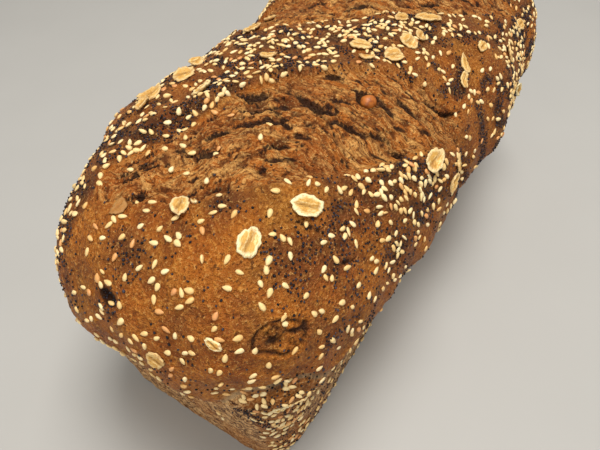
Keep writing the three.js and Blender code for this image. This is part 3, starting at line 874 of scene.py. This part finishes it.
def seed_grid(rings, sides):
    """Corners on a unit ball as angle pairs, with its quads and end triangles."""
    steps = np.arange(1, rings + 1) / (rings + 1) * np.pi
    round_steps = np.arange(sides) / sides * 2 * np.pi
    along, turn = np.meshgrid(steps, round_steps, indexing="ij")
    ball = np.stack([-np.cos(along), np.sin(along) * np.cos(turn), np.sin(along) * np.sin(turn)], -1)
    ball = np.concatenate([ball.reshape(-1, 3), [[-1, 0, 0], [1, 0, 0]]])
    number = np.arange(rings * sides).reshape(rings, sides)
    quads = np.concatenate([
        np.stack([number[k], np.roll(number[k], -1), np.roll(number[k + 1], -1), number[k + 1]], -1)
        for k in range(rings - 1)
    ])
    start = np.stack([np.full(sides, rings * sides), np.roll(number[0], -1), number[0]], -1)
    end = np.stack([np.full(sides, rings * sides + 1), number[-1], np.roll(number[-1], -1)], -1)
    return ball, quads, np.concatenate([start, end])


def lay_frames(normals, turns, tilts, random):
    """Axes (length, width, up) of things that lie on a surface, turned and tipped a little."""
    count = len(normals)
    helper = np.where(np.abs(normals[:, 2:]) > 0.9, [[1.0, 0, 0]], [[0, 0, 1.0]])
    first = np.cross(helper, normals)
    first /= np.linalg.norm(first, axis=1, keepdims=True)
    second = np.cross(normals, first)
    along = np.cos(turns)[:, None] * first + np.sin(turns)[:, None] * second
    side = np.cross(normals, along)
    roll = tilts * random.standard_normal(count)
    up = np.cos(roll)[:, None] * normals + np.sin(roll)[:, None] * side
    pitch = 0.5 * np.minimum(tilts, 0.35) * random.standard_normal(count)
    tipped = np.cos(pitch)[:, None] * along + np.sin(pitch)[:, None] * up
    width = np.cross(up, tipped)
    width /= np.linalg.norm(width, axis=1, keepdims=True)
    return np.stack([tipped, width, np.cross(tipped, width)], 1)


def joined_copies(shapes, axes, places):
    """One array of corners from a shape for each place, laid along its axes."""
    return (np.einsum("nvk,nkc->nvc", shapes, axes) + places[:, None, :]).reshape(-1, 3)


def repeated_faces(faces, corner_count, copies):
    """The faces of one shape, repeated for each copy."""
    return (faces[None] + (np.arange(copies) * corner_count)[:, None, None]).reshape(-1, faces.shape[1])


def sesame_seeds(surface, looks, look, taken, random):
    """All sesame seeds as one mesh: flattened drops, a few on edge where they crowd."""
    places, normals, _ = scatter(surface, looks, 0, SESAME_COUNT, SESAME_SPACING, taken, random)
    count = len(places)
    ball, quads, ends = seed_grid(SESAME_RINGS, SESAME_SIDES)
    sizes = [size + spread * random.standard_normal(count) for size, spread in SESAME_SIZE]
    length, width, thickness = (np.clip(s, 0.6 * s.mean(), 1.35 * s.mean()) / 2 for s in sizes)
    x = ball[None, :, 0]
    narrowing = 1 - 0.34 * x - 0.16 * x**2
    plump = 1 - 0.2 * x
    shapes = np.stack([
        length[:, None] * x,
        width[:, None] * ball[None, :, 1] * narrowing,
        thickness[:, None] * ball[None, :, 2] * plump,
    ], -1)
    cluster = np.exp(-((places - np.array(CLUSTER_PLACE)) ** 2).sum(1) / 13**2)
    turns = random.random(count) * 2 * np.pi
    aligned = random.random(count) < 0.9 * cluster
    turns = np.where(aligned, math.radians(272) + 0.25 * random.standard_normal(count), turns)
    on_edge = random.random(count) < 0.08 + 0.4 * cluster
    tilts = np.where(on_edge, 1.0, 0.2)
    axes = lay_frames(normals, turns, tilts, random)
    lift = np.where(on_edge, 0.45, 0.22) * sizes[2]
    corners = joined_copies(shapes, axes, places + normals * lift[:, None])
    size = ball.shape[0]
    toast = np.clip(0.3 + 0.2 * random.standard_normal(count), 0, 0.75)
    toast = np.where(random.random(count) < 0.09, random.uniform(0.85, 1, count), toast)
    values = {
        "toast": np.repeat(toast, size),
        "along": np.tile(ball[:, 0], count),
    }
    faces = [repeated_faces(quads, size, count), repeated_faces(ends, size, count)]
    return new_piece("sesame_seeds", corners, faces, values, look)


def tiny_ball():
    """Corners and triangles of a round seed: a ring of six corners, one on top and one below."""
    turn = np.arange(6) / 6 * 2 * np.pi
    ring = np.stack([np.cos(turn), np.sin(turn), np.zeros(6)], -1)
    corners = np.concatenate([ring, [[0, 0, 1], [0, 0, -1]]])
    here = np.arange(6)
    after = np.roll(here, -1)
    upper = np.stack([here, after, np.full(6, 6)], -1)
    lower = np.stack([after, here, np.full(6, 7)], -1)
    return corners, np.concatenate([upper, lower])


def poppy_seeds(surface, looks, look, taken, random):
    """All poppy seeds as one mesh."""
    places, normals, _ = scatter(surface, looks, 1, POPPY_COUNT, POPPY_SPACING, taken, random)
    count = len(places)
    ball, triangles = tiny_ball()
    size = (POPPY_SIZE[0] + POPPY_SIZE[1] * random.standard_normal(count)) / 2
    shapes = size[:, None, None] * ball[None] * np.array([1.15, 0.95, 0.85])
    axes = lay_frames(normals, random.random(count) * 2 * np.pi, np.full(count, 0.4), random)
    corners = joined_copies(shapes, axes, places + normals * (0.4 * size)[:, None])
    faces = [repeated_faces(triangles, len(ball), count)]
    values = {"own": np.repeat(random.random(count), len(ball))}
    return new_piece("poppy_seeds", corners, faces, values, look)


def flake_shape(radius, narrowness, random):
    """Corners, faces and values of one rolled oat: a ruffled, creased disc with two faces."""
    steps = np.arange(1, FLAKE_RINGS + 1) / FLAKE_RINGS
    spokes = np.arange(FLAKE_SPOKES) / FLAKE_SPOKES * 2 * np.pi
    share, angle = np.meshgrid(steps, spokes, indexing="ij")
    rim = np.ones(FLAKE_SPOKES)
    for wave, height in ((2, 0.05), (3, 0.05), (5, 0.04), (8, 0.035), (11, 0.04)):
        rim += height * np.sin(wave * spokes + random.random() * 2 * np.pi)
    x = radius * share * rim * np.cos(angle)
    y = radius * narrowness * share * rim * np.sin(angle)
    across = y / (radius * narrowness)
    groove = np.exp(-(((across + 0.12 * np.sin(2.5 * x / radius)) / 0.16) ** 2)) * (1 - share**4)
    ruffle = 0.28 * share**2 * np.sin(9 * angle + random.random() * 6) * (0.5 + 0.5 * np.sin(4 * angle))
    curl = random.normal(0.04, 0.10) * (x / radius) ** 2 + random.normal(0.09, 0.09) * across**2
    body = radius * curl + ruffle + 0.08 * random.standard_normal(x.shape)
    half = FLAKE_THICKNESS / 2 * np.sqrt(np.maximum(0.05, 1 - share**6))
    top = np.stack([x, y, body + half - 0.38 * groove], -1).reshape(-1, 3)
    bottom = np.stack([x, y, body - half], -1).reshape(-1, 3)[: -FLAKE_SPOKES]
    middle = [[0, 0, FLAKE_THICKNESS / 2 - 0.38], [0, 0, -FLAKE_THICKNESS / 2]]
    corners = np.concatenate([top, bottom, middle])
    upper = np.arange(len(top)).reshape(FLAKE_RINGS, FLAKE_SPOKES)
    lower = len(top) + np.arange(len(bottom)).reshape(FLAKE_RINGS - 1, FLAKE_SPOKES)
    lower = np.concatenate([lower, upper[-1:]])
    quads = []
    triangles = []
    for rows, outward in ((upper, True), (lower, False)):
        centre = len(corners) - (2 if outward else 1)
        for k in range(FLAKE_RINGS - 1):
            ring = [rows[k], rows[k + 1], np.roll(rows[k + 1], -1), np.roll(rows[k], -1)]
            quads.append(np.stack(ring if outward else ring[::-1], -1))
        fan = [np.full(FLAKE_SPOKES, centre), rows[0], np.roll(rows[0], -1)]
        triangles.append(np.stack(fan if outward else [fan[0], fan[2], fan[1]], -1))
    edge = np.concatenate([share.ravel(), share.ravel()[: -FLAKE_SPOKES], [0, 0]])
    dent = np.concatenate([groove.ravel(), np.zeros(len(bottom)), [1, 0]])
    return corners, np.concatenate(quads), np.concatenate(triangles), edge, dent


def oat_flakes(surface, looks, look, taken, random):
    """All oat flakes as one mesh: those seen on the near end, and loose ones over the rest."""
    wanted = []
    spot_x, spot_y, spot_z, *curled = CURLED_FLAKE
    wanted.append((*surface.nearest(spot_x, spot_y, spot_z), *curled))
    for x, y, radius, narrowness, turn, brown in NEAR_FLAKES:
        place, normal, _ = surface.below(x, y)
        wanted.append((place, normal, radius, narrowness, turn, brown))
    density = seed_wanted(surface.corners, looks, 0)
    weight = face_middles(surface, density) * (face_middles(surface, surface.corners)[:, 2] > 6)
    middles = face_middles(surface, surface.corners)
    weight[(middles[:, 0] < -60) | ((middles[:, 0] < 14) & (middles[:, 2] > WIDEST_HEIGHT))] = 0
    tries = random.choice(len(weight), size=40 * LOOSE_FLAKES, p=weight / weight.sum())
    for face in tries:
        place = surface.corners[surface.quads[face]].mean(0)
        if min(np.linalg.norm(place - other[0]) for other in wanted) < 8.5:
            continue
        normal = surface.normals[surface.quads[face]].mean(0)
        radius = random.uniform(3, 4.7)
        narrowness = random.uniform(0.5, 0.85)
        turn = random.uniform(0, 360)
        wanted.append((place, normal / np.linalg.norm(normal), radius, narrowness, turn, random.uniform(0.15, 0.6)))
        if len(wanted) == 1 + len(NEAR_FLAKES) + LOOSE_FLAKES:
            break
    parts = []
    for place, normal, radius, narrowness, turn, brown in wanted:
        corners, quads, triangles, edge, dent = flake_shape(radius, narrowness, random)
        first, second = tangents(normal, turn)
        lean = 0.18 * random.standard_normal()
        lift = 0.42
        if place[1] > RIM_START and place[0] < -30:
            lean += RIM_LEAN
            lift += RIM_LIFT
        up = normal * math.cos(lean) + second * math.sin(lean)
        side = np.cross(up, first)
        laid = corners @ np.stack([first, side, up]) + place + normal * lift
        parts.append((laid, quads, triangles, edge, dent, brown, random.random(), corners[:, 0], corners[:, 1]))
        for dx in np.arange(-radius, radius + 0.1, 1.4):
            for dy in np.arange(-radius * narrowness, radius * narrowness + 0.1, 1.4):
                if (dx / radius) ** 2 + (dy / radius / narrowness) ** 2 < 1:
                    spot = place + first * dx + side * dy
                    taken.setdefault(tuple((spot // 4.0).astype(int)), []).append((spot, 0.5))
    starts = np.concatenate([[0], np.cumsum([len(p[0]) for p in parts])[:-1]])
    corners = np.concatenate([p[0] for p in parts])
    faces = [
        np.concatenate([p[1] + s for p, s in zip(parts, starts)]),
        np.concatenate([p[2] + s for p, s in zip(parts, starts)]),
    ]
    values = {
        "edge": np.concatenate([p[3] for p in parts]),
        "dent": np.concatenate([p[4] for p in parts]),
        "brown": np.concatenate([np.full(len(p[0]), p[5]) for p in parts]),
        "own": np.concatenate([np.full(len(p[0]), p[6]) for p in parts]),
        "flake_along": np.concatenate([p[7] for p in parts]),
        "flake_across": np.concatenate([p[8] for p in parts]),
    }
    return new_piece("oat_flakes", corners, faces, values, look)


def whole_kernel(surface, look, taken, random):
    """The one whole kernel baked into the near tear."""
    place, normal, _ = surface.below(*KERNEL_PLACE)
    ball, quads, ends = seed_grid(14, 20)
    pucker = 1 + 0.05 * rough_noise(ball, 0.6, 2, 120)[:, None]
    corners = ball * pucker * np.array(KERNEL_SIZE)
    first, second = tangents(normal, -20)
    laid = corners @ np.stack([first, second, normal]) + place + normal * 0.5
    taken.setdefault(tuple((place // 4.0).astype(int)), []).append((place, 3.0))
    return new_piece("whole_kernel", laid, [quads, ends], {}, look)


def loaf_crust(surface, looks, look):
    """The crust itself as one closed mesh."""
    middle = surface.corners[surface.last_ring].mean(0)
    corners = np.concatenate([surface.corners, [middle]])
    centre = np.full(len(surface.last_ring), len(corners) - 1)
    fan = np.stack([centre, surface.last_ring, np.roll(surface.last_ring, -1)], -1)
    values = {key: np.append(numbers, 0) for key, numbers in looks.items()}
    piece = new_piece("loaf_crust", corners, [surface.quads, fan], values, look)
    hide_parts("loaf")
    return piece


def paint(red, green, blue):
    """A colour as seen on screen, 0 to 255, for a shader."""
    shares = [part / 255 for part in (red, green, blue)]
    return tuple(s / 12.92 if s <= 0.04045 else ((s + 0.055) / 1.055) ** 2.4 for s in shares) + (1.0,)


class Wire:
    """A number that varies over a surface: arithmetic on it adds Math nodes."""

    def __init__(self, look, socket):
        self.look = look
        self.socket = socket

    def __add__(self, other):
        return self.look.maths("ADD", self, other)

    def __sub__(self, other):
        return self.look.maths("SUBTRACT", self, other)

    def __rsub__(self, other):
        return self.look.maths("SUBTRACT", other, self)

    def __mul__(self, other):
        return self.look.maths("MULTIPLY", self, other)

    __radd__ = __add__
    __rmul__ = __mul__


class Look:
    """A material while it is made."""

    def __init__(self, name, roughness, specular=0.5, sheen=0.0, subsurface=0.0):
        self.material = bpy.data.materials.new(name)
        self.material.use_nodes = True
        self.nodes = self.material.node_tree.nodes
        self.links = self.material.node_tree.links
        self.shader = self.nodes["Principled BSDF"]
        self.shader.inputs["Roughness"].default_value = roughness
        self.shader.inputs["Specular IOR Level"].default_value = specular
        self.shader.inputs["Sheen Weight"].default_value = sheen
        self.shader.inputs["Subsurface Weight"].default_value = subsurface

    def join(self, socket, value):
        """Links a wire to a socket, or sets the socket's own value."""
        if isinstance(value, Wire):
            self.links.new(value.socket, socket)
        else:
            socket.default_value = value

    def node(self, kind, settings, sockets, output=0):
        """Adds a node: its settings first, then the values or links of its sockets."""
        made = self.nodes.new(kind)
        for key, value in settings.items():
            if key == "stops":
                ramp = made.color_ramp
                while len(ramp.elements) < len(value):
                    ramp.elements.new(1)
                for element, (position, colour) in zip(ramp.elements, value):
                    element.position = position
                    element.color = colour
            else:
                setattr(made, key, value)
        for key, value in sockets.items():
            self.join(made.inputs[key], value)
        return Wire(self, made.outputs[output])

    def maths(self, operation, first, second=0.0):
        """A Math node on two numbers."""
        return self.node("ShaderNodeMath", {"operation": operation}, {0: first, 1: second})

    def kept(self, key):
        """A number kept at the mesh's corners."""
        return self.node("ShaderNodeAttribute", {"attribute_name": key}, {}, "Fac")

    def place(self):
        """The place on the piece in millimetres."""
        metres = self.node("ShaderNodeTexCoord", {}, {}, "Object")
        return self.node("ShaderNodeVectorMath", {"operation": "SCALE"}, {0: metres, "Scale": 1 / MM})

    def fibres(self, along, across, keys=("fibre_along", "fibre_across", "height")):
        """Places along the torn fibres, squeezed so that noise on them is drawn out."""
        first = self.kept(keys[0]) * (1 / along)
        second = self.kept(keys[1]) * (1 / across)
        third = self.kept(keys[2]) * (1 / across)
        return self.node("ShaderNodeCombineXYZ", {}, {"X": first, "Y": second, "Z": third})

    def dots(self, place, spacing, radius, share):
        """Round specks, kept at a share of the places."""
        sockets = {"Vector": place, "Scale": 1 / spacing}
        away = self.node("ShaderNodeTexVoronoi", {}, sockets, "Distance")
        drawn = self.node("ShaderNodeTexVoronoi", {}, sockets, "Color")
        chosen = self.step(drawn, 1 - share - 0.02, 1 - share + 0.02)
        return chosen * self.step(radius / spacing - away, 0.0, 0.15)

    def squeezed(self, place, turn, along, across, up):
        """Places turned about Z and squeezed, so that noise on them runs along that turn."""
        turned = self.node("ShaderNodeVectorRotate", {"rotation_type": "Z_AXIS"}, {"Vector": place, "Angle": -turn})
        return self.node("ShaderNodeVectorMath", {"operation": "DIVIDE"}, {0: turned, 1: (along, across, up)})

    def mottle(self, place, size, detail=3.0, roughness=0.55, distortion=0.0):
        """Noise from 0 to 1 with features of a size in millimetres."""
        return self.node("ShaderNodeTexNoise", {}, {
            "Vector": place, "Scale": 1 / size, "Detail": detail,
            "Roughness": roughness, "Distortion": distortion,
        })

    def step(self, value, low, high):
        """0 below low, 1 above high and smooth between."""
        return self.node("ShaderNodeMapRange", {"interpolation_type": "SMOOTHSTEP"}, {
            "Value": value, "From Min": low, "From Max": high,
        })

    def mix(self, first, second, share):
        """The first colour, with a share of the second."""
        return self.node("ShaderNodeMix", {"data_type": "RGBA"}, {0: share, 6: first, 7: second}, 2)

    def bump(self, height, distance, normal=None):
        """A bump of a height from 0 to 1 that stands for a distance in millimetres."""
        sockets = {"Height": height, "Distance": distance * MM, "Strength": 1.0}
        if normal is not None:
            sockets["Normal"] = normal
        return self.node("ShaderNodeBump", {}, sockets)

    def finish(self, colour, roughness, normal):
        """Sets what the shader shows and gives the material."""
        self.join(self.shader.inputs["Base Color"], colour)
        self.join(self.shader.inputs["Roughness"], roughness)
        self.join(self.shader.inputs["Normal"], normal)
        return self.material


# Colours of the crust, as seen on screen
CRUST_BROWN = paint(171, 99, 27)
CRUST_GOLD = paint(216, 146, 62)
CRUST_DARK = paint(100, 48, 8)
CRUST_RED = paint(142, 68, 16)
CRUST_OLIVE = paint(138, 98, 38)
CRUST_PLUM = paint(120, 64, 30)
# Partly stain under the seeds, partly painted shade between crowded seeds
STAIN_AND_SEED_SHADE = paint(58, 34, 15)
BRAN_FLECK = paint(56, 28, 10)
# Painted glint colour: light caught on tiny bumps
PAINTED_GLINT = paint(236, 184, 108)
TORN_BROWN = paint(180, 103, 34)
TORN_KHAKI = paint(212, 156, 86)
TORN_DARK = paint(84, 38, 6)
# Painted glint colour for the torn crumb
TORN_PAINTED_GLINT = paint(246, 204, 134)
WALL_TAN = paint(168, 116, 64)
WALL_PALE = paint(232, 184, 124)
WALL_BROWN = paint(84, 46, 18)
WALL_CREASE = paint(190, 170, 134)
# Painted shade in slits, pits and creases
PAINTED_SHADE_DARK = paint(34, 14, 3)


def crust_look():
    """Baked crust: blotched brown with bran flecks, streaky crumb where torn, tan tin sides; painted glints,
    painted highlight on raised lumps, and painted shade in the crumb's dips, in slits, creases and between crowded
    seeds.
    """
    look = Look("crust", 0.6, specular=0.2)
    place = look.place()
    torn = look.kept("torn")
    crown = look.kept("crown")
    hollow = look.kept("hollow")
    raised = look.kept("raised")

    seeded = look.kept("seeded")
    blotch = look.mottle(place, 24, 3)
    patch = look.mottle(place, 6, 5, 0.65)
    grain = look.mottle(place, 1.5, 4, 0.75)
    fine = look.mottle(place, 0.8, 2, 0.6)
    fleck = look.mottle(place, 1.3, 2, 0.5)

    colour = look.mix(CRUST_BROWN, CRUST_RED, look.step(blotch, 0.42, 0.64) * 0.6)
    colour = look.mix(colour, CRUST_OLIVE, look.step(look.mottle(place, 17, 2), 0.5, 0.68) * 0.5)
    colour = look.mix(colour, CRUST_DARK, look.step(patch, 0.46, 0.7) * 0.85)
    colour = look.mix(colour, CRUST_GOLD, look.step(grain, 0.5, 0.68) * 0.7)
    colour = look.mix(colour, CRUST_DARK, look.step(1 - grain, 0.52, 0.7) * 0.7)
    # Painted highlight: crust lighter on its raised lumps
    colour = look.mix(colour, CRUST_GOLD, look.step(raised, 0.5, 0.85) * 0.3)
    plum = look.step(look.mottle(place, 11, 3), 0.5, 0.62)
    colour = look.mix(colour, CRUST_PLUM, plum * 0.3)
    colour = look.mix(colour, CRUST_PLUM, look.step(seeded, 0.15, 0.7) * 0.5)
    # Darker where seeds lie thick: stain, with painted shade between crowded seeds
    colour = look.mix(colour, STAIN_AND_SEED_SHADE, look.step(seeded, 0.1, 1.0) * (0.2 + 0.65 * look.step(patch, 0.35, 0.6)))
    # Painted glints: pale dots and specks standing for light caught on tiny bumps of the crust
    colour = look.mix(colour, PAINTED_GLINT, look.dots(place, 1.1, 0.22, 0.4) * 0.6)
    colour = look.mix(colour, PAINTED_GLINT, look.step(fine, 0.56, 0.7) * 0.35)
    colour = look.mix(colour, CRUST_DARK, look.step(1 - fine, 0.54, 0.66) * 0.5)
    colour = look.mix(colour, BRAN_FLECK, look.step(fleck, 0.62, 0.7) * 0.7)
    colour = look.mix(colour, BRAN_FLECK, look.dots(place, 1.7, 0.3, 0.15) * 0.6)

    streak = look.mottle(look.fibres(2.8, 1.0), 1, 4, 0.62, 0.8)
    broad_streak = look.mottle(look.fibres(8, 3.2), 1, 4, 0.6, 0.8)
    crumb = look.mix(TORN_BROWN, TORN_KHAKI, look.step(broad_streak, 0.44, 0.62) * 0.85)
    crumb = look.mix(crumb, CRUST_RED, look.step(blotch, 0.45, 0.62) * 0.5)
    crumb = look.mix(crumb, TORN_DARK, look.step(streak, 0.48, 0.66) * 0.85)
    # Painted glints on the pale fibres of the crumb
    crumb = look.mix(crumb, PAINTED_GLINT, look.step(1 - streak, 0.52, 0.66) * 0.55)
    # Painted shade: crumb darker in its dips
    crumb = look.mix(crumb, TORN_DARK, look.step(1 - raised, 0.46, 0.84) * 0.8)
    crumb = look.mix(crumb, TORN_DARK, look.step(1 - fine, 0.54, 0.66) * 0.45)
    # Painted glints on the crumb's fine bumps
    crumb = look.mix(crumb, TORN_PAINTED_GLINT, look.step(fine, 0.58, 0.7) * 0.35)
    crumb = look.mix(crumb, BRAN_FLECK, look.step(fleck, 0.6, 0.68) * 0.75)
    colour = look.mix(colour, crumb, torn)

    side_fibre = look.squeezed(place, 0, 3.0, 3.0, 2.6)
    side_streak = look.mottle(side_fibre, 1, 3, 0.55, 1.4)
    side = look.mix(WALL_TAN, WALL_PALE, look.step(side_streak, 0.48, 0.58))
    side = look.mix(side, WALL_BROWN, look.step(1 - side_streak, 0.5, 0.6))
    side = look.mix(side, CRUST_BROWN, look.step(blotch, 0.46, 0.64) * 0.6)
    side = look.mix(side, WALL_BROWN, look.step(patch, 0.5, 0.7) * 0.5)
    side = look.mix(side, CRUST_BROWN, look.step(seeded, 0.1, 0.5) * 0.7)
    side = look.mix(side, WALL_PALE, look.step(fine, 0.54, 0.66) * 0.6)
    side = look.mix(side, WALL_BROWN, look.step(1 - fine, 0.52, 0.64) * 0.45)
    side = look.mix(side, WALL_CREASE, look.step(crown * (1 - crown), 0.04, 0.22) * 0.7)
    # On the walls too: stain and painted shade where seeds lie thick
    side = look.mix(side, STAIN_AND_SEED_SHADE, seeded * (0.1 + 0.55 * look.step(patch, 0.4, 0.62)))
    side = look.mix(side, BRAN_FLECK, look.dots(place, 1.7, 0.36, 0.3) * 0.7)
    colour = look.mix(side, colour, crown)
    # Painted shade in the slits, pits and scar creases, a little deeper along the fibre streaks
    colour = look.mix(colour, PAINTED_SHADE_DARK, look.step(hollow + 0.5 * streak, 0.4, 0.9) * 0.92)

    roughness = 0.36 + 0.3 * grain + 0.1 * torn
    height = 0.7 * grain + 0.7 * fine + 0.7 * (torn * streak) + 1.2 * ((1 - crown) * side_streak)
    return look.finish(colour, roughness, look.bump(height, 1.5))


def sesame_look():
    """Sesame: cream, some toasted tan or pink, darker at the pointed end."""
    look = Look("sesame", 0.42, specular=0.5, subsurface=0.0)
    place = look.place()
    toast = look.kept("toast")
    colour = look.node("ShaderNodeValToRGB", {"stops": [
        (0.0, paint(244, 222, 170)), (0.4, paint(236, 202, 136)),
        (0.75, paint(226, 176, 104)), (1.0, paint(212, 146, 88)),
    ]}, {"Fac": toast})
    tip = look.step(look.kept("along"), 0.5, 1.0)
    colour = look.mix(colour, paint(200, 140, 74), tip * 0.5)
    mottle = look.mottle(place, 0.7, 3)
    colour = look.mix(colour, paint(214, 164, 96), look.step(mottle, 0.5, 0.8) * 0.4)
    roughness = 0.36 + 0.2 * mottle
    return look.finish(colour, roughness, look.bump(mottle, 0.12))


def poppy_look():
    """Poppy seeds: blue-black, a few grey or brown."""
    look = Look("poppy", 0.5, specular=0.2)
    own = look.kept("own")
    colour = look.node("ShaderNodeValToRGB", {"stops": [
        (0.0, paint(18, 16, 20)), (0.5, paint(36, 33, 40)),
        (0.8, paint(66, 63, 74)), (1.0, paint(66, 46, 36)),
    ]}, {"Fac": own})
    dimple = look.mottle(look.place(), 0.35, 2)
    colour = look.mix(colour, paint(88, 82, 88), look.step(dimple, 0.55, 0.75) * 0.3)
    return look.finish(colour, 0.42 + 0.3 * dimple, look.bump(dimple, 0.12))


def oat_look():
    """Oat flakes: pale ruffled rim, golden middle with a dark crease and browned patches."""
    look = Look("oat", 0.62, specular=0.25)
    place = look.place()
    edge = look.kept("edge")
    dent = look.kept("dent")
    brown = look.kept("brown")
    mottle = look.mottle(place, 1.6, 4, 0.6)
    grain = look.mottle(place, 0.5, 3, 0.6)
    lines = look.mottle(look.fibres(2.4, 0.45, ("flake_along", "flake_across", "own")), 1, 3, 0.6, 0.3)
    rim = look.step(edge + 0.6 * mottle, 0.9, 1.15) * (1 - 0.65 * look.step(brown, 0.16, 0.32))
    colour = look.mix(paint(214, 166, 86), paint(250, 234, 186), rim)
    colour = look.mix(colour, paint(244, 220, 160), look.step(lines, 0.52, 0.62) * 0.7)
    colour = look.mix(colour, paint(158, 104, 44), look.step(1 - lines, 0.55, 0.68) * 0.6)
    colour = look.mix(colour, paint(176, 116, 48), look.step(mottle, 0.54, 0.68) * 0.5)
    colour = look.mix(colour, paint(96, 54, 20), dent * 0.5)
    colour = look.mix(colour, paint(152, 98, 44), look.step(brown + 0.5 * mottle, 0.4, 1.1) * 0.85)
    colour = look.mix(colour, paint(120, 70, 30), look.step(grain, 0.58, 0.72) * 0.5)
    roughness = 0.52 + 0.25 * grain
    height = 0.5 * mottle + 0.3 * grain + 0.4 * lines
    return look.finish(colour, roughness, look.bump(height, 0.4))


def kernel_look():
    """The whole kernel: glossy orange-brown, mottled darker."""
    look = Look("kernel", 0.4, specular=0.5)
    mottle = look.mottle(look.place(), 1.8, 3)
    colour = look.mix(paint(182, 104, 38), paint(140, 72, 22), look.step(mottle, 0.42, 0.7))
    return look.finish(colour, 0.3 + 0.25 * mottle, look.bump(mottle, 0.2))


def floor_look():
    """Plain pale floor."""
    look = Look("floor", 0.6, specular=0.3)
    mottle = look.mottle(look.place(), 60, 2)
    colour = look.mix(paint(174, 173, 170), paint(178, 177, 174), mottle)
    return look.finish(colour, 0.55 + 0.1 * mottle, look.bump(mottle, 0.01))


def camera_frame():
    """The camera's right, down and forward directions."""
    pitch, roll, yaw = (math.radians(a) for a in (CAMERA_PITCH, CAMERA_ROLL, CAMERA_YAW))
    forward = Vector((math.cos(yaw) * math.cos(pitch), math.sin(yaw) * math.cos(pitch), -math.sin(pitch)))
    level = Vector((math.sin(yaw), -math.cos(yaw), 0))
    down = forward.cross(level)
    right = level * math.cos(roll) + down * math.sin(roll)
    below = down * math.cos(roll) - level * math.sin(roll)
    return right, below, forward


def make_camera():
    """The camera at the photograph's place."""
    right, below, forward = camera_frame()
    data = bpy.data.cameras.new("camera")
    data.sensor_width = 36
    data.lens = data.sensor_width * FOCAL_PIXELS / IMAGE_WIDTH
    data.clip_start = 0.01
    data.clip_end = 20
    camera = bpy.data.objects.new("camera", data)
    turn = Matrix((right, -below, -forward)).transposed().to_4x4()
    spot = Vector(to_place(np.array(CAMERA_PLACE)))
    camera.matrix_world = Matrix.Translation(spot) @ turn
    bpy.context.scene.collection.objects.link(camera)
    bpy.context.scene.camera = camera


def area_light(name, place, target, size, power, colour):
    """A square soft light that points at a target."""
    data = bpy.data.lights.new(name, "AREA")
    data.shape = "SQUARE"
    data.size = size
    data.energy = power
    data.color = colour
    light = bpy.data.objects.new(name, data)
    light.location = place
    light.rotation_euler = (Vector(target) - Vector(place)).to_track_quat("-Z", "Y").to_euler()
    bpy.context.scene.collection.objects.link(light)


def make_stage():
    """Floor, soft lights and an even surround."""
    mesh = bpy.data.meshes.new("floor")
    reach = 3.0
    mesh.from_pydata([(-reach, -reach, 0), (reach, -reach, 0), (reach, reach, 0), (-reach, reach, 0)], [], [(0, 1, 2, 3)])
    mesh.materials.append(floor_look())
    floor = bpy.data.objects.new("floor", mesh)
    bpy.context.scene.collection.objects.link(floor)
    area_light("key_light", (0.05, -0.1, 1.15), (-0.03, 0, 0.06), 0.5, 13, (1.0, 0.97, 0.92))
    area_light("fill_light", (-0.95, -0.35, 0.65), (0, 0, 0.06), 1.0, 6.2, (1.0, 0.97, 0.91))
    world = bpy.data.worlds.new("surround")
    world.use_nodes = True
    world.node_tree.nodes["Background"].inputs["Color"].default_value = (1.0, 0.96, 0.89, 1)
    world.node_tree.nodes["Background"].inputs["Strength"].default_value = 0.3
    bpy.context.scene.world = world
    bpy.context.scene.view_settings.view_transform = "Standard"


random = np.random.default_rng(RANDOM_SEED)
surface, looks = shape_crust(random)
taken = {}
loaf_crust(surface, looks, crust_look())
oat_flakes(surface, looks, oat_look(), taken, random)
whole_kernel(surface, kernel_look(), taken, random)
sesame_seeds(surface, looks, sesame_look(), taken, random)
poppy_seeds(surface, looks, poppy_look(), taken, random)
make_camera()
make_stage()
